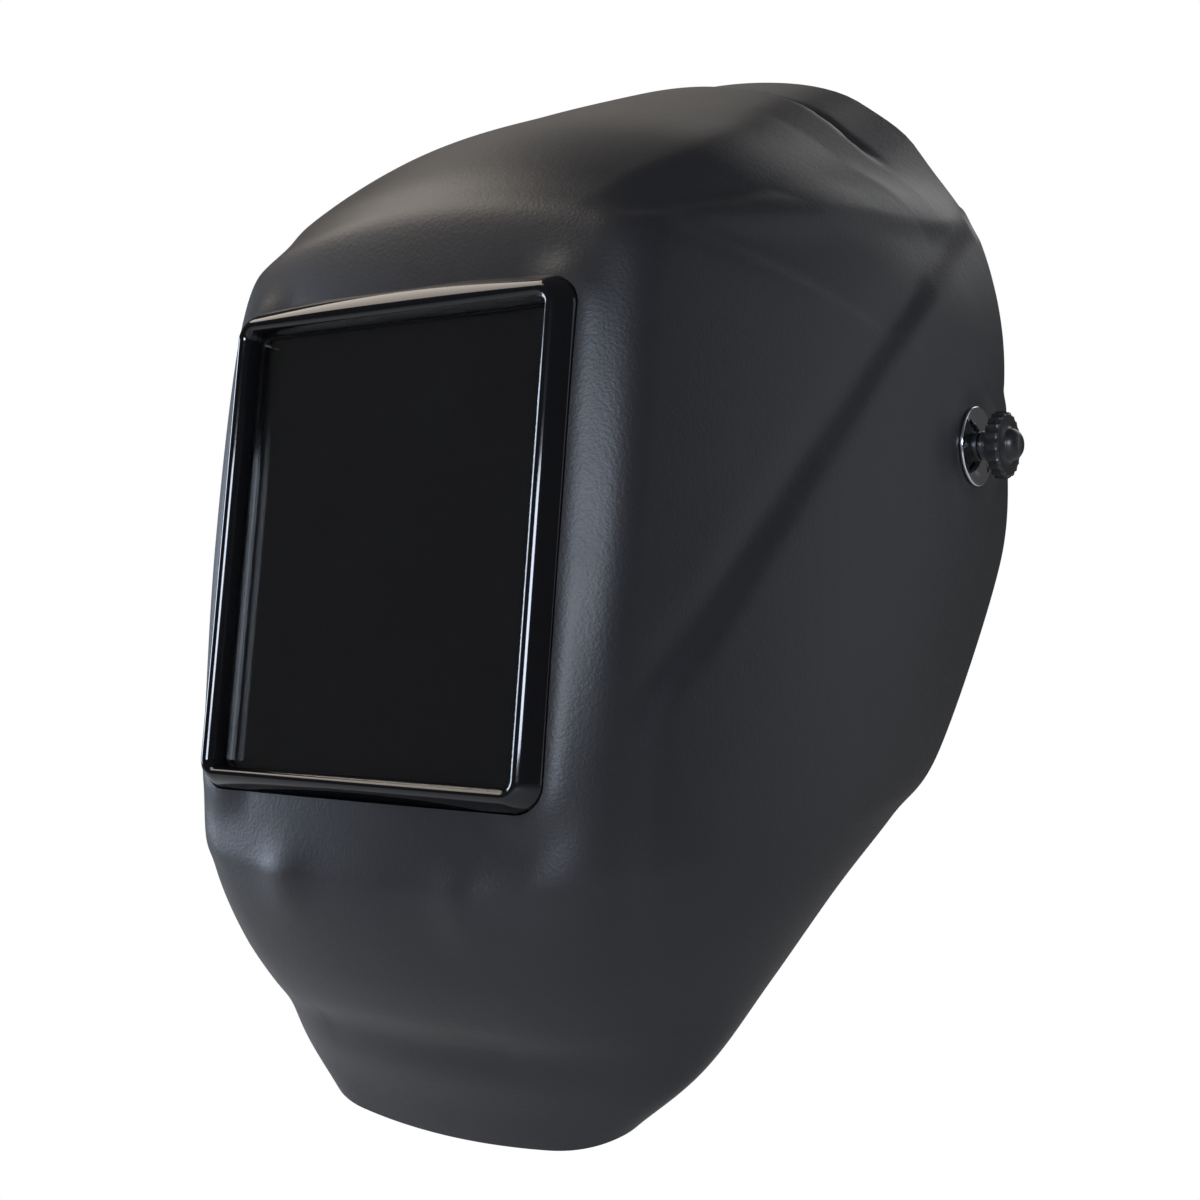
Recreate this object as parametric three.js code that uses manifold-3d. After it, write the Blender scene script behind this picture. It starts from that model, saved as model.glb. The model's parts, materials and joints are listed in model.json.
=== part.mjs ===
// Welding helmet with a fixed 4.5 x 5.25 inch window: a moulded shell that tips up on two friction
// pivots, a lens stack behind a glossy window frame, and a ratchet headgear inside.
// Millimetres, +Z up, the wearer faces -Y, +X is the wearer's left.
// The origin is the middle of the pivot axis, where the headgear's side arms carry the shell.
import * as THREE from "three";
import { mergeVertices } from "three/addons/utils/BufferGeometryUtils.js";
import Module from "manifold-3d";

const wasm = await Module();
wasm.setup();

// ---------------------------------------------------------------- driving dimensions

const GAP = 0.3; // left between pieces that touch

// Shell
const SHELL_HALF_WIDTH = 112.5; // outside, at the pivots
const SHELL_WALL = 2.8;
const CROWN_HEIGHT = 134; // top of the shell above the pivot axis
const CHIN_DROP = 198; // bottom edge below the pivot axis
const SIDE_FULLNESS = 2; // how soon the side wall reaches its full width
const BOSS_RADIUS = 14; // flat seat round each pivot hole
const BOSS_PROUD = 0.2; // seat outside the widest wall
const BOSS_DEPTH = 5; // seat to its inner face

// Window: its centre, its lean, and the standard plates behind it
const WINDOW_FORWARD = 142;
const WINDOW_BELOW = 31;
const WINDOW_LEAN = THREE.MathUtils.degToRad(6.8);
const PLATE_WIDTH = 114.3;
const PLATE_HEIGHT = 133.4;
const PLATE_CLEARANCE = 0.4;
const PLATE_CORNER = 2;
const OPENING_BORDER_SIDE = 4.65; // of the plate, hidden by the frame's lip
const OPENING_BORDER_END = 4.7;
const OPENING_CORNER = 3;
const FRAME_WALL_SIDE = 2.2;
const FRAME_WALL_END = 1.4;
const FRAME_CORNER = 8;
const FRAME_BEAD = 1.2; // bead's crest in front of the lip
const LIP_THICKNESS = 2.5;
const FLANGE_WIDTH = 5;
const FLANGE_THICKNESS = 3;
const COVER_THICKNESS = 1;
const GASKET_THICKNESS = 1;
const FILTER_THICKNESS = 3.2;
const RETAINER_THICKNESS = 6.8;
const RETAINER_BAR = 5.4;
const LATCH_SEAT = 2; // latches sit this far below the retainer's rear face
const LATCH_THICKNESS = 1.6;
const LATCH_REACH = 9;
const LATCH_WIDTH = 7;
const LATCH_RISE = 38; // above and below the window's centre
const SCREW_RADIUS = 1.2;

// Pivots
const BOLT_RADIUS = 3;
const BOLT_HEAD = 11; // across its square head
const BOLT_HEAD_THICKNESS = 2.8;
const BORE_CLEARANCE = 0.35;
const ARM_THICKNESS = 3;
const ARM_HEIGHT = 22;
const STOP_THICKNESS = 2.5;
const STOP_RADIUS = 13;
const STOP_TAB_REACH = 20;
const STOP_TAB_WIDTH = 6;
const TILT_RANGE = THREE.MathUtils.degToRad(80);
const STOP_LUG_ANGLE = THREE.MathUtils.degToRad(200); // from the front, over the top
const WASHER_RADIUS = 12;
const FRICTION_WASHER_THICKNESS = 1.5;
const SLOTTED_WASHER_THICKNESS = 1.1;
const SLOTTED_WASHER_CUP = 1;
const KNOB_RADIUS = 10;
const KNOB_NECK_RADIUS = 4.6;
const KNOB_NECK_LENGTH = 3.6;
const KNOB_FLANGE_THICKNESS = 4.6;
const KNOB_DOME_RADIUS = 4.9;
const KNOB_DOME_HEIGHT = 3.8;
const KNOB_FLUTES = 14;

// Headgear, in a frame that leans so that the brow is high and the nape low
const HEADGEAR_LEAN = THREE.MathUtils.degToRad(14);
const BAND_HALF_WIDTH = 78.5; // outside of the brow band
const BAND_LENGTH = 108; // from the head's widest line to the brow
const BAND_BACK = 28; // widest line behind the pivots
const BAND_THICKNESS = 2;
const BAND_LOW = -6;
const BAND_HIGH = 18;
const SWEATBAND_THICKNESS = 5;
const SWEATBAND_MARGIN = 2;
const STRAP_THICKNESS = 1.4;
const STRAP_WIDTH = 14;
const STRAP_TOP = 105;
const STRAP_BACK = 10; // strap's rivets behind the pivots
const STRAP_RISE = 12; // and above them
const RIVET_RADIUS = 2;
const RIVET_HEAD_RADIUS = 4;
const RIVET_HEAD_THICKNESS = 1.4;

// Ratchet at the nape
const RACK_THICKNESS = 1.8;
const RACK_HALF_HEIGHT = 9.5;
const RACK_TRAVEL = 10; // of the nape, each way
const RACK_SIDE_PLAY = 1.2; // between the rack and the brow band it runs beside
const PINION_RADIUS = 4; // at its pitch line
const PINION_TEETH = 10;
const TOOTH = 0.6; // above and below the pitch line
const HOUSING_ARC = THREE.MathUtils.degToRad(24);
const HOUSING_HALF_HEIGHT = 15;
const HOUSING_WALL = 3.3;
const RATCHET_KNOB_RADIUS = 17;
const RATCHET_KNOB_THICKNESS = 14;
const NAPE_PAD_THICKNESS = 6.4;

// ---------------------------------------------------------------- worked-out places

const plateHalfWidth = PLATE_WIDTH / 2;
const plateHalfHeight = PLATE_HEIGHT / 2;
const pocketHalfWidth = plateHalfWidth + PLATE_CLEARANCE;
const pocketHalfHeight = plateHalfHeight + PLATE_CLEARANCE;
const frameHalfWidth = pocketHalfWidth + FRAME_WALL_SIDE;
const frameHalfHeight = pocketHalfHeight + FRAME_WALL_END;
const openingHalfWidth = plateHalfWidth - OPENING_BORDER_SIDE;
const openingHalfHeight = plateHalfHeight - OPENING_BORDER_END;

// The stack, from the lip's front (0) towards the wearer
const coverFront = -LIP_THICKNESS - GAP;
const gasketFront = coverFront - COVER_THICKNESS - GAP;
const filterFront = gasketFront - GASKET_THICKNESS - GAP;
const innerFront = filterFront - FILTER_THICKNESS - GAP;
const retainerFront = innerFront - COVER_THICKNESS - GAP;
const retainerRear = retainerFront - RETAINER_THICKNESS;
const frameRear = retainerRear + LATCH_SEAT;
const flangeFront = frameRear + FLANGE_THICKNESS;
const collarRear = flangeFront + GAP;
const latchAcross = frameHalfWidth + GAP + FLANGE_WIDTH / 2;

// The pivot stack, along X from the shell's seat inwards and outwards
const seatOuter = SHELL_HALF_WIDTH + BOSS_PROUD;
const seatInner = seatOuter - BOSS_DEPTH;
const bushOuter = seatInner - GAP;
const armOuter = seatOuter - 12.6;
const armInner = armOuter - ARM_THICKNESS;
const stopInner = armOuter + GAP;
const stopOuter = stopInner + STOP_THICKNESS;
const frictionInner = stopOuter + GAP;
const frictionOuter = frictionInner + FRICTION_WASHER_THICKNESS;
const bushInner = frictionOuter + GAP;
const slottedInner = seatOuter + GAP;
const slottedOuter = slottedInner + SLOTTED_WASHER_THICKNESS + SLOTTED_WASHER_CUP;
const neckInner = slottedOuter + GAP;
const flangeInner = neckInner + KNOB_NECK_LENGTH;
const flangeOuter = flangeInner + KNOB_FLANGE_THICKNESS;
const knobTip = flangeOuter + KNOB_DOME_HEIGHT;
const knobBoreEnd = flangeOuter + 0.8;
const boreRadius = BOLT_RADIUS + BORE_CLEARANCE;

// The rear arc that the racks run round
const rackInner = BAND_HALF_WIDTH + RACK_SIDE_PLAY;
const rackOuter = rackInner + RACK_THICKNESS;
const slotInner = rackInner - 0.7;
const slotOuter = rackOuter + 1.7;
const housingOuter = slotOuter + HOUSING_WALL;
const coverOuter = slotInner - GAP;
const coverInner = coverOuter - 2.5;
const padOuter = coverInner - GAP;
const knobFace = housingOuter + 0.4;
const rackSwing = RACK_TRAVEL / rackInner;

// ---------------------------------------------------------------- solids

/** A closed geometry with its faces pointing out, whichever way they were wound. */
function outward(geometry) {
  const flat = geometry.index ? geometry.toNonIndexed() : geometry.clone();
  for (const name of Object.keys(flat.attributes)) {
    if (name !== "position") flat.deleteAttribute(name);
  }
  const merged = mergeVertices(flat, 1e-4);
  const place = merged.attributes.position;
  const [a, b, c] = [new THREE.Vector3(), new THREE.Vector3(), new THREE.Vector3()];
  const kept = [];
  let volume = 0;
  for (let i = 0; i < merged.index.count; i += 3) {
    const corners = [0, 1, 2].map((k) => merged.index.getX(i + k));
    if (new Set(corners).size < 3) continue;
    a.fromBufferAttribute(place, corners[0]);
    b.fromBufferAttribute(place, corners[1]);
    c.fromBufferAttribute(place, corners[2]);
    volume += a.dot(b.cross(c));
    kept.push(corners);
  }
  merged.setIndex(kept.flatMap(([i, j, k]) => (volume < 0 ? [i, k, j] : [i, j, k])));
  return merged;
}

/** The manifold of a closed geometry. */
function toSolid(geometry) {
  const closed = outward(geometry);
  const vertProperties = closed.attributes.position.array;
  const triVerts = new Uint32Array(closed.index.array);
  return new wasm.Manifold(new wasm.Mesh({ numProp: 3, vertProperties, triVerts }));
}

/** The geometry of a manifold. */
function toGeometry(solid) {
  const { numProp, vertProperties, triVerts } = solid.getMesh();
  const count = vertProperties.length / numProp;
  const places = new Float32Array(count * 3);
  for (let i = 0; i < count; i++) {
    places.set(vertProperties.subarray(i * numProp, i * numProp + 3), i * 3);
  }
  const geometry = new THREE.BufferGeometry();
  geometry.setAttribute("position", new THREE.BufferAttribute(places, 3));
  return geometry.setIndex(new THREE.BufferAttribute(triVerts, 1));
}

const cut = (body, ...tools) =>
  toGeometry(tools.reduce((solid, tool) => solid.subtract(toSolid(tool)), toSolid(body)));
const join = (body, ...others) =>
  toGeometry(others.reduce((solid, other) => solid.add(toSolid(other)), toSolid(body)));
const common = (body, other) => toGeometry(toSolid(body).intersect(toSolid(other)));

/** Triangles between two rows of points that run alongside each other. */
function band(from, to, closed) {
  const triangles = [];
  const last = closed ? from.length : from.length - 1;
  for (let i = 0; i < last; i++) {
    const j = (i + 1) % from.length;
    triangles.push(from[i], from[j], to[j], from[i], to[j], to[i]);
  }
  return triangles;
}

/** A geometry from a flat list of triangle corners. */
function fromCorners(corners) {
  return outward(new THREE.BufferGeometry().setFromPoints(corners));
}

/** Closed convex rings of points, skinned in order and capped at both ends. */
function loft(rings) {
  const corners = rings.slice(1).flatMap((ring, i) => band(rings[i], ring, true));
  const cap = (ring, turned) => {
    for (let i = 1; i < ring.length - 1; i++) {
      corners.push(ring[0], ring[turned ? i : i + 1], ring[turned ? i + 1 : i]);
    }
  };
  cap(rings[0], false);
  cap(rings[rings.length - 1], true);
  return fromCorners(corners);
}

/** Closed rings skinned in order, the last one joined to the first. */
function loop(rings) {
  return fromCorners(rings.flatMap((ring, i) => band(ring, rings[(i + 1) % rings.length], true)));
}

/** A solid between two grids of points with the same rows and columns. */
function sheet(outer, inner) {
  const corners = [];
  const rows = outer.length;
  for (let i = 0; i < rows - 1; i++) {
    corners.push(...band(outer[i], outer[i + 1], false));
    corners.push(...band(inner[i + 1], inner[i], false));
  }
  const column = (grid, k) => grid.map((row) => row[k]);
  const last = outer[0].length - 1;
  corners.push(...band(inner[0], outer[0], false));
  corners.push(...band(outer[rows - 1], inner[rows - 1], false));
  corners.push(...band(column(outer, 0), column(inner, 0), false));
  corners.push(...band(column(inner, last), column(outer, last), false));
  return fromCorners(corners);
}

/** A round bar along X. */
function rod(radius, from, to, sides = 16) {
  return new THREE.CylinderGeometry(radius, radius, to - from, sides)
    .rotateZ(-Math.PI / 2)
    .translate((from + to) / 2, 0, 0);
}

/** A turned piece about X from [radius, x] points that start and end on the axis, or close. */
function turned(profile, sides = 18) {
  const points = profile.map(([radius, x]) => new THREE.Vector2(radius, x));
  return outward(new THREE.LatheGeometry(points, sides).rotateZ(-Math.PI / 2));
}

/** A turned ring about X with a square section. */
const ring = (inner, outer, from, to, sides) =>
  turned([[inner, from], [outer, from], [outer, to], [inner, to], [inner, from]], sides);

/** A block from one corner to the other. */
function block(low, high) {
  const size = high.map((value, i) => value - low[i]);
  const middle = high.map((value, i) => (value + low[i]) / 2);
  return new THREE.BoxGeometry(...size).translate(...middle);
}

/** A bar of constant thickness round a line of [x, y] points, from z = low to z = high. */
function ribbon(line, thickness, low, high) {
  const points = line.map(([x, y]) => new THREE.Vector2(x, y));
  const rings = points.map((point, i) => {
    const before = points[Math.max(i - 1, 0)];
    const after = points[Math.min(i + 1, points.length - 1)];
    const along = after.clone().sub(before).normalize();
    const across = new THREE.Vector2(along.y, -along.x).multiplyScalar(thickness / 2);
    const [z0, z1] = [low, high].map((edge) => (typeof edge === "number" ? edge : edge(i)));
    const near = point.clone().add(across);
    const far = point.clone().sub(across);
    return [
      new THREE.Vector3(near.x, near.y, z0),
      new THREE.Vector3(far.x, far.y, z0),
      new THREE.Vector3(far.x, far.y, z1),
      new THREE.Vector3(near.x, near.y, z1),
    ];
  });
  return loft(rings);
}

/** Evenly spaced values from one to another, both included. */
const steps = (from, to, count) =>
  Array.from({ length: count + 1 }, (_, i) => from + ((to - from) * i) / count);

/** A rounded rectangle's points, counter-clockwise, at height z. */
function roundedRing(halfWidth, halfHeight, corner, z, arc = 4) {
  const radius = Math.max(corner, 0.5);
  const points = [];
  [[1, 1, 0], [-1, 1, 1], [-1, -1, 2], [1, -1, 3]].forEach(([sx, sy, quarter]) => {
    steps(quarter, quarter + 1, arc).forEach((turn) => {
      const angle = (turn * Math.PI) / 2;
      const x = sx * (halfWidth - radius) + radius * Math.cos(angle);
      const y = sy * (halfHeight - radius) + radius * Math.sin(angle);
      points.push(new THREE.Vector3(x, y, z));
    });
  });
  return points;
}

/** A rounded slab between two heights. */
const slab = (halfWidth, halfHeight, corner, from, to) =>
  loft([roundedRing(halfWidth, halfHeight, corner, from), roundedRing(halfWidth, halfHeight, corner, to)]);

// ---------------------------------------------------------------- finishes

const finish = (color, roughness, metalness = 0) =>
  new THREE.MeshStandardMaterial({ color, roughness, metalness });
const shellPlastic = finish(0x2b2c31, 0.55);
const glossPlastic = finish(0x0c0c0e, 0.12);
const filterGlass = finish(0x16161b, 0.06);
const clearPlastic = finish(0xdfe6e8, 0.08);
const rubber = finish(0x1a1a1a, 0.85);
const chrome = finish(0xd0d2d6, 0.12, 1);
const steel = finish(0x9a9ca0, 0.35, 1);
const bandPlastic = finish(0x232427, 0.5);
const knobPlastic = finish(0x151517, 0.4);
const nylon = finish(0xd8d6cc, 0.5);
const cloth = finish(0x2c2e33, 0.95);

const helmet = new THREE.Group();

/** Adds one named piece to a group. */
function add(group, name, geometry, material) {
  const mesh = new THREE.Mesh(outward(geometry), material);
  mesh.name = name;
  group.add(mesh);
}

// ---------------------------------------------------------------- shell

const windowUp = new THREE.Vector2(Math.sin(WINDOW_LEAN), Math.cos(WINDOW_LEAN));
const windowTop = [
  -WINDOW_FORWARD + frameHalfHeight * windowUp.x,
  -WINDOW_BELOW + frameHalfHeight * windowUp.y,
];
const windowBottom = [
  -WINDOW_FORWARD - frameHalfHeight * windowUp.x,
  -WINDOW_BELOW - frameHalfHeight * windowUp.y,
];
const muzzleZ = windowBottom[1] - 26;
const browZ = windowTop[1] + 29;
const chinZ = (share) => THREE.MathUtils.lerp(muzzleZ, -CHIN_DROP, share);
const crownZ = (share) => THREE.MathUtils.lerp(browZ, CROWN_HEIGHT, share);

// Sections of the shell from the chin's free edge to the crown's. Each runs from the middle of the
// front to the rear free edge: front and edge are [y, z]; the front face reaches beyond the window
// frame by the margin, its sides fall back by the bow, a corner of that size turns it into the
// side wall, and the wall ends inset from the widest place.
const SECTIONS = [
  { front: [-111, chinZ(1)], edge: [-95, -187], margin: -18, bow: 4, corner: 8, inset: 56 },
  { front: [-118, chinZ(0.82)], edge: [-88, -172], margin: -10, bow: 7, corner: 15, inset: 40 },
  { front: [-130, chinZ(0.59)], edge: [-75, -150], margin: -5, bow: 9, corner: 18, inset: 28 },
  { front: [-145, chinZ(0.3)], edge: [-56, -126], margin: -1, bow: 9.5, corner: 18, inset: 17.5 },
  { front: [-152.5, muzzleZ], edge: [-34, -108], margin: 3, bow: 9, corner: 14, inset: 11 },
  { front: [windowBottom[0] - 1, windowBottom[1] - 6], edge: [-10, -90], margin: 7, bow: 7.5, corner: 10, inset: 6.5 },
  { front: [-WINDOW_FORWARD - 0.5, -WINDOW_BELOW], edge: [22, -34], margin: 12.5, bow: 8, corner: 9, inset: 0.5 },
  { front: [windowTop[0] + 0.5, windowTop[1] + 7], edge: [24, 2], margin: 11, bow: 10, corner: 10, inset: 0 },
  { front: [windowTop[0] + 11, browZ], edge: [23, 9], margin: 10, bow: 16.5, corner: 13, inset: 0 },
  { front: [-94, crownZ(0.316)], edge: [22, 14], margin: 17, bow: 22, corner: 18, inset: 0 },
  { front: [-55, crownZ(0.559)], edge: [20.3, 17.2], margin: 21, bow: 24, corner: 24, inset: 0 },
  { front: [-14, crownZ(0.787)], edge: [19.8, 19], margin: 19, bow: 22, corner: 30, inset: 0 },
  { front: [27, crownZ(1)], edge: [20, 20.4], margin: 14, bow: 18, corner: 37, inset: 0 },
];
const FACE_SHARE = 0.36; // of the section's parameter that runs over the front face
const CORNER_SHARE = 0.52; // and to the end of the corner

/** A Catmull-Rom value through evenly spaced numbers. */
function through(values, t) {
  const last = values.length - 1;
  const place = THREE.MathUtils.clamp(t, 0, 1) * last;
  const i = Math.min(Math.floor(place), last - 1);
  const f = place - i;
  const [b, c] = [values[i], values[i + 1]];
  const a = i > 0 ? values[i - 1] : 2 * b - c;
  const d = i + 2 <= last ? values[i + 2] : 2 * c - b;
  const cubic = (2 * b) + (c - a) * f + (2 * a - 5 * b + 4 * c - d) * f * f;
  return (cubic + (3 * b - a - 3 * c + d) * f ** 3) / 2;
}

const sectionValue = (pick) => {
  const values = SECTIONS.map(pick);
  return (t) => through(values, t);
};
const frontY = sectionValue((section) => section.front[0]);
const frontZ = sectionValue((section) => section.front[1]);
const edgeY = sectionValue((section) => section.edge[0]);
const edgeZ = sectionValue((section) => section.edge[1]);
const faceHalf = sectionValue((section) => frameHalfWidth + section.margin);
const faceBow = sectionValue((section) => section.bow);
const faceCorner = sectionValue((section) => section.corner);
const edgeHalf = sectionValue((section) => SHELL_HALF_WIDTH - section.inset);

/** The shell's outer surface: s from chin to crown, u from -1 to 1 round each section. */
function shellPoint(s, u) {
  const [y0, z0] = [frontY(s), frontZ(s)];
  const back = new THREE.Vector2(edgeY(s) - y0, edgeZ(s) - z0);
  const length = back.length();
  const [half, bow, edge] = [faceHalf(s), faceBow(s), edgeHalf(s)];
  const corner = Math.min(faceCorner(s), 0.6 * (length - bow));
  const faceX = half - corner;
  const faceDepth = bow * (faceX / half) ** 2;
  const faceSlope = (2 * bow * faceX) / half ** 2;
  const wallDepth = bow + corner;
  const rest = 1 - corner / (length - bow);
  const wallX = half + (edge - half) * (1 - rest ** SIDE_FULLNESS);
  const wallSlope = ((edge - half) * SIDE_FULLNESS * rest ** (SIDE_FULLNESS - 1)) / (length - bow);
  const knee = (wallX + wallSlope * (faceDepth - faceSlope * faceX - wallDepth)) / (1 - faceSlope * wallSlope);
  const kneeDepth = faceDepth + faceSlope * (knee - faceX);
  const reach = Math.abs(u);
  let [x, depth] = [0, 0];
  if (reach <= FACE_SHARE) {
    x = (faceX * reach) / FACE_SHARE;
    depth = bow * (x / half) ** 2;
  } else if (reach <= CORNER_SHARE) {
    const t = (reach - FACE_SHARE) / (CORNER_SHARE - FACE_SHARE);
    const [a, b, c] = [(1 - t) ** 2, 2 * t * (1 - t), t * t];
    x = a * faceX + b * knee + c * wallX;
    depth = a * faceDepth + b * kneeDepth + c * wallDepth;
  } else {
    depth = wallDepth + ((length - wallDepth) * (reach - CORNER_SHARE)) / (1 - CORNER_SHARE);
    const left = 1 - (depth - bow) / (length - bow);
    x = half + (edge - half) * (1 - Math.max(left, 0) ** SIDE_FULLNESS);
  }
  back.multiplyScalar(depth / length);
  return new THREE.Vector3(Math.sign(u) * x, y0 + back.x, z0 + back.y);
}

/** The shell's outward normal. */
function shellNormal(s, u) {
  const step = 1e-3;
  const clampedU = THREE.MathUtils.clamp(u, -1 + step, 1 - step);
  const clampedS = THREE.MathUtils.clamp(s, step, 1 - step);
  const alongU = shellPoint(s, clampedU + step).sub(shellPoint(s, clampedU - step));
  const alongS = shellPoint(clampedS + step, u).sub(shellPoint(clampedS - step, u));
  return alongU.cross(alongS).normalize();
}

/** Rows of the shell's surface moved by an offset, given each point and its normal. */
function shellGrid(reach, offset) {
  const half = [
    ...steps(0, FACE_SHARE, 3),
    ...steps(FACE_SHARE, CORNER_SHARE, 3).slice(1),
    ...steps(CORNER_SHARE, 1, 4).slice(1),
  ].filter((u) => u <= reach + 1e-9);
  const across = [...half.slice(1).reverse().map((u) => -u), ...half];
  return steps(0, 1, 2 * (SECTIONS.length - 1)).map((s) =>
    across.map((u) => shellPoint(s, u).add(offset(shellNormal(s, u)))));
}

const windowFrame = new THREE.Group();
windowFrame.position.set(0, -WINDOW_FORWARD, -WINDOW_BELOW);
windowFrame.rotation.x = Math.PI / 2 - WINDOW_LEAN;
windowFrame.updateMatrixWorld(true);
helmet.add(windowFrame);

/** A geometry made in the window's frame, moved to the helmet's. */
const atWindow = (geometry) => geometry.applyMatrix4(windowFrame.matrixWorld);

const LATCHES = [
  ["latch_top_left", 1, 1],
  ["latch_top_right", -1, 1],
  ["latch_bottom_left", 1, -1],
  ["latch_bottom_right", -1, -1],
];

/** A round bar along the window's normal. */
const pin = (radius, x, y, from, to, sides = 10) =>
  rod(radius, from, to, sides).rotateY(-Math.PI / 2).translate(x, y, 0);

function makeShell() {
  const still = new THREE.Vector3();
  const outer = shellGrid(1, () => still);
  const wall = sheet(outer, shellGrid(1, (normal) => normal.clone().multiplyScalar(-SHELL_WALL)));
  const filled = sheet(
    shellGrid(CORNER_SHARE, (normal) => normal.clone().multiplyScalar(-0.3)),
    shellGrid(CORNER_SHARE, () => new THREE.Vector3(0, 45, 0)),
  );
  const holeHalf = [frameHalfWidth + GAP, frameHalfHeight + GAP];
  const collarHalf = holeHalf.map((value) => value + FLANGE_WIDTH);
  const collar = atWindow(slab(...collarHalf, FRAME_CORNER + FLANGE_WIDTH, collarRear, 12));
  const hole = atWindow(slab(...holeHalf, FRAME_CORNER + GAP, collarRear - 20, 30));
  const screwHoles = LATCHES.map(([, sx, sy]) =>
    atWindow(pin(SCREW_RADIUS + GAP, sx * latchAcross, sy * LATCH_RISE, collarRear - 1, collarRear + 4)));
  const sides = [1, -1].flatMap((side) => {
    const boss = turned([
      [0, seatInner],
      [BOSS_RADIUS, seatInner],
      [BOSS_RADIUS + 3, seatInner + 2],
      [BOSS_RADIUS, seatOuter],
      [0, seatOuter],
    ]);
    const middle = (BOSS_RADIUS + STOP_TAB_REACH) / 2 + 0.5;
    const lug = block(
      [stopInner + 0.2, middle - 2.5, -STOP_TAB_WIDTH / 2],
      [seatInner + 1.5, middle + 3.5, STOP_TAB_WIDTH / 2],
    ).rotateX(Math.PI - STOP_LUG_ANGLE);
    return [boss, lug].map((piece) => outward(piece.scale(side, 1, 1)));
  });
  const reliefs = [1, -1].map((side) =>
    outward(rod(BOSS_RADIUS, armOuter, seatInner).scale(side, 1, 1)));
  const relieved = cut(wall, ...reliefs);
  const bore = rod(boreRadius, -2 * SHELL_HALF_WIDTH, 2 * SHELL_HALF_WIDTH);
  return cut(join(relieved, common(collar, filled), ...sides), hole, bore, ...screwHoles);
}

add(helmet, "shell", makeShell(), shellPlastic);

// ---------------------------------------------------------------- window and lens stack

function makeWindowFrame() {
  const corner = FRAME_CORNER;
  const outer = (inset, z) =>
    roundedRing(frameHalfWidth - inset, frameHalfHeight - inset, corner - inset, z);
  const inner = (grow, z) =>
    roundedRing(openingHalfWidth + grow, openingHalfHeight + grow, OPENING_CORNER + grow, z);
  const pocket = (z) => roundedRing(pocketHalfWidth, pocketHalfHeight, PLATE_CORNER, z);
  const body = loop([
    outer(-FLANGE_WIDTH, flangeFront),
    outer(-FLANGE_WIDTH, frameRear),
    pocket(frameRear),
    pocket(-LIP_THICKNESS),
    inner(0, -LIP_THICKNESS),
    inner(0, -0.6),
    inner(0.6, 0),
    inner(2.2, 0),
    outer(3.2, FRAME_BEAD),
    outer(1.4, FRAME_BEAD),
    outer(0.3, 0.3),
    outer(0, -1.2),
    outer(0, flangeFront),
  ]);
  const holes = LATCHES.map(([, sx, sy]) =>
    pin(SCREW_RADIUS + GAP, sx * latchAcross, sy * LATCH_RISE, frameRear - 1, flangeFront + 1));
  return cut(body, ...holes);
}

const plate = (thickness, front) =>
  slab(plateHalfWidth, plateHalfHeight, PLATE_CORNER, front - thickness, front);

add(windowFrame, "window_frame", makeWindowFrame(), glossPlastic);
add(windowFrame, "cover_plate", plate(COVER_THICKNESS, coverFront), clearPlastic);
add(windowFrame, "lens_gasket", cut(
  plate(GASKET_THICKNESS, gasketFront),
  slab(openingHalfWidth, openingHalfHeight, OPENING_CORNER, gasketFront - 3, gasketFront + 1),
), rubber);
add(windowFrame, "filter_plate", plate(FILTER_THICKNESS, filterFront), filterGlass);
add(windowFrame, "inner_cover_plate", plate(COVER_THICKNESS, innerFront), clearPlastic);
add(windowFrame, "lens_retainer", cut(
  plate(RETAINER_THICKNESS, retainerFront),
  slab(plateHalfWidth - RETAINER_BAR, plateHalfHeight - RETAINER_BAR, OPENING_CORNER,
    retainerRear - 1, retainerFront + 1),
  ...LATCHES.map(([, sx, sy]) =>
    pin(LATCH_REACH + 1, sx * latchAcross, sy * LATCH_RISE, retainerRear - 1, frameRear, 24)),
), knobPlastic);

const latchFront = frameRear - GAP;
const latchRear = latchFront - LATCH_THICKNESS;
for (const [name, sx, sy] of LATCHES) {
  const arm = join(
    pin(LATCH_WIDTH / 2, 0, 0, latchRear, latchFront, 20),
    block([-LATCH_REACH, -LATCH_WIDTH / 2, latchRear], [0, LATCH_WIDTH / 2, latchFront]),
  ).scale(sx, 1, 1);
  const bored = cut(arm, pin(SCREW_RADIUS + GAP, 0, 0, latchRear - 1, latchFront + 1));
  add(windowFrame, name, bored.translate(sx * latchAcross, sy * LATCH_RISE, 0), steel);
  const screw = turned([
    [0, latchRear - GAP - 1.6],
    [2, latchRear - GAP - 1.6],
    [2.6, latchRear - GAP - 0.9],
    [2.6, latchRear - GAP],
    [SCREW_RADIUS, latchRear - GAP],
    [SCREW_RADIUS, collarRear + 3.5],
    [0, collarRear + 3.5],
  ], 10).rotateY(-Math.PI / 2).translate(sx * latchAcross, sy * LATCH_RISE, 0);
  add(windowFrame, name.replace("latch", "latch_screw"), screw, steel);
}

// ---------------------------------------------------------------- pivots, one set a side

const headgear = new THREE.Group();
headgear.rotation.x = -HEADGEAR_LEAN;
helmet.add(headgear);

/** The brow band's outside at an angle from the brow, and a way along its normal. */
function browPoint(angle, offset = 0) {
  const x = BAND_HALF_WIDTH * Math.sin(angle);
  const y = BAND_BACK - BAND_LENGTH * Math.cos(angle);
  const normal = new THREE.Vector2(Math.sin(angle) / BAND_HALF_WIDTH, -Math.cos(angle) / BAND_LENGTH);
  normal.normalize().multiplyScalar(offset);
  return [x + normal.x, y + normal.y];
}

const degrees = THREE.MathUtils.degToRad;
const ARM_RIVETS = [["front", degrees(46.5)], ["rear", degrees(55)]];
const rivetZ = (BAND_LOW + ARM_HEIGHT / 2) / 2;

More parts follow.
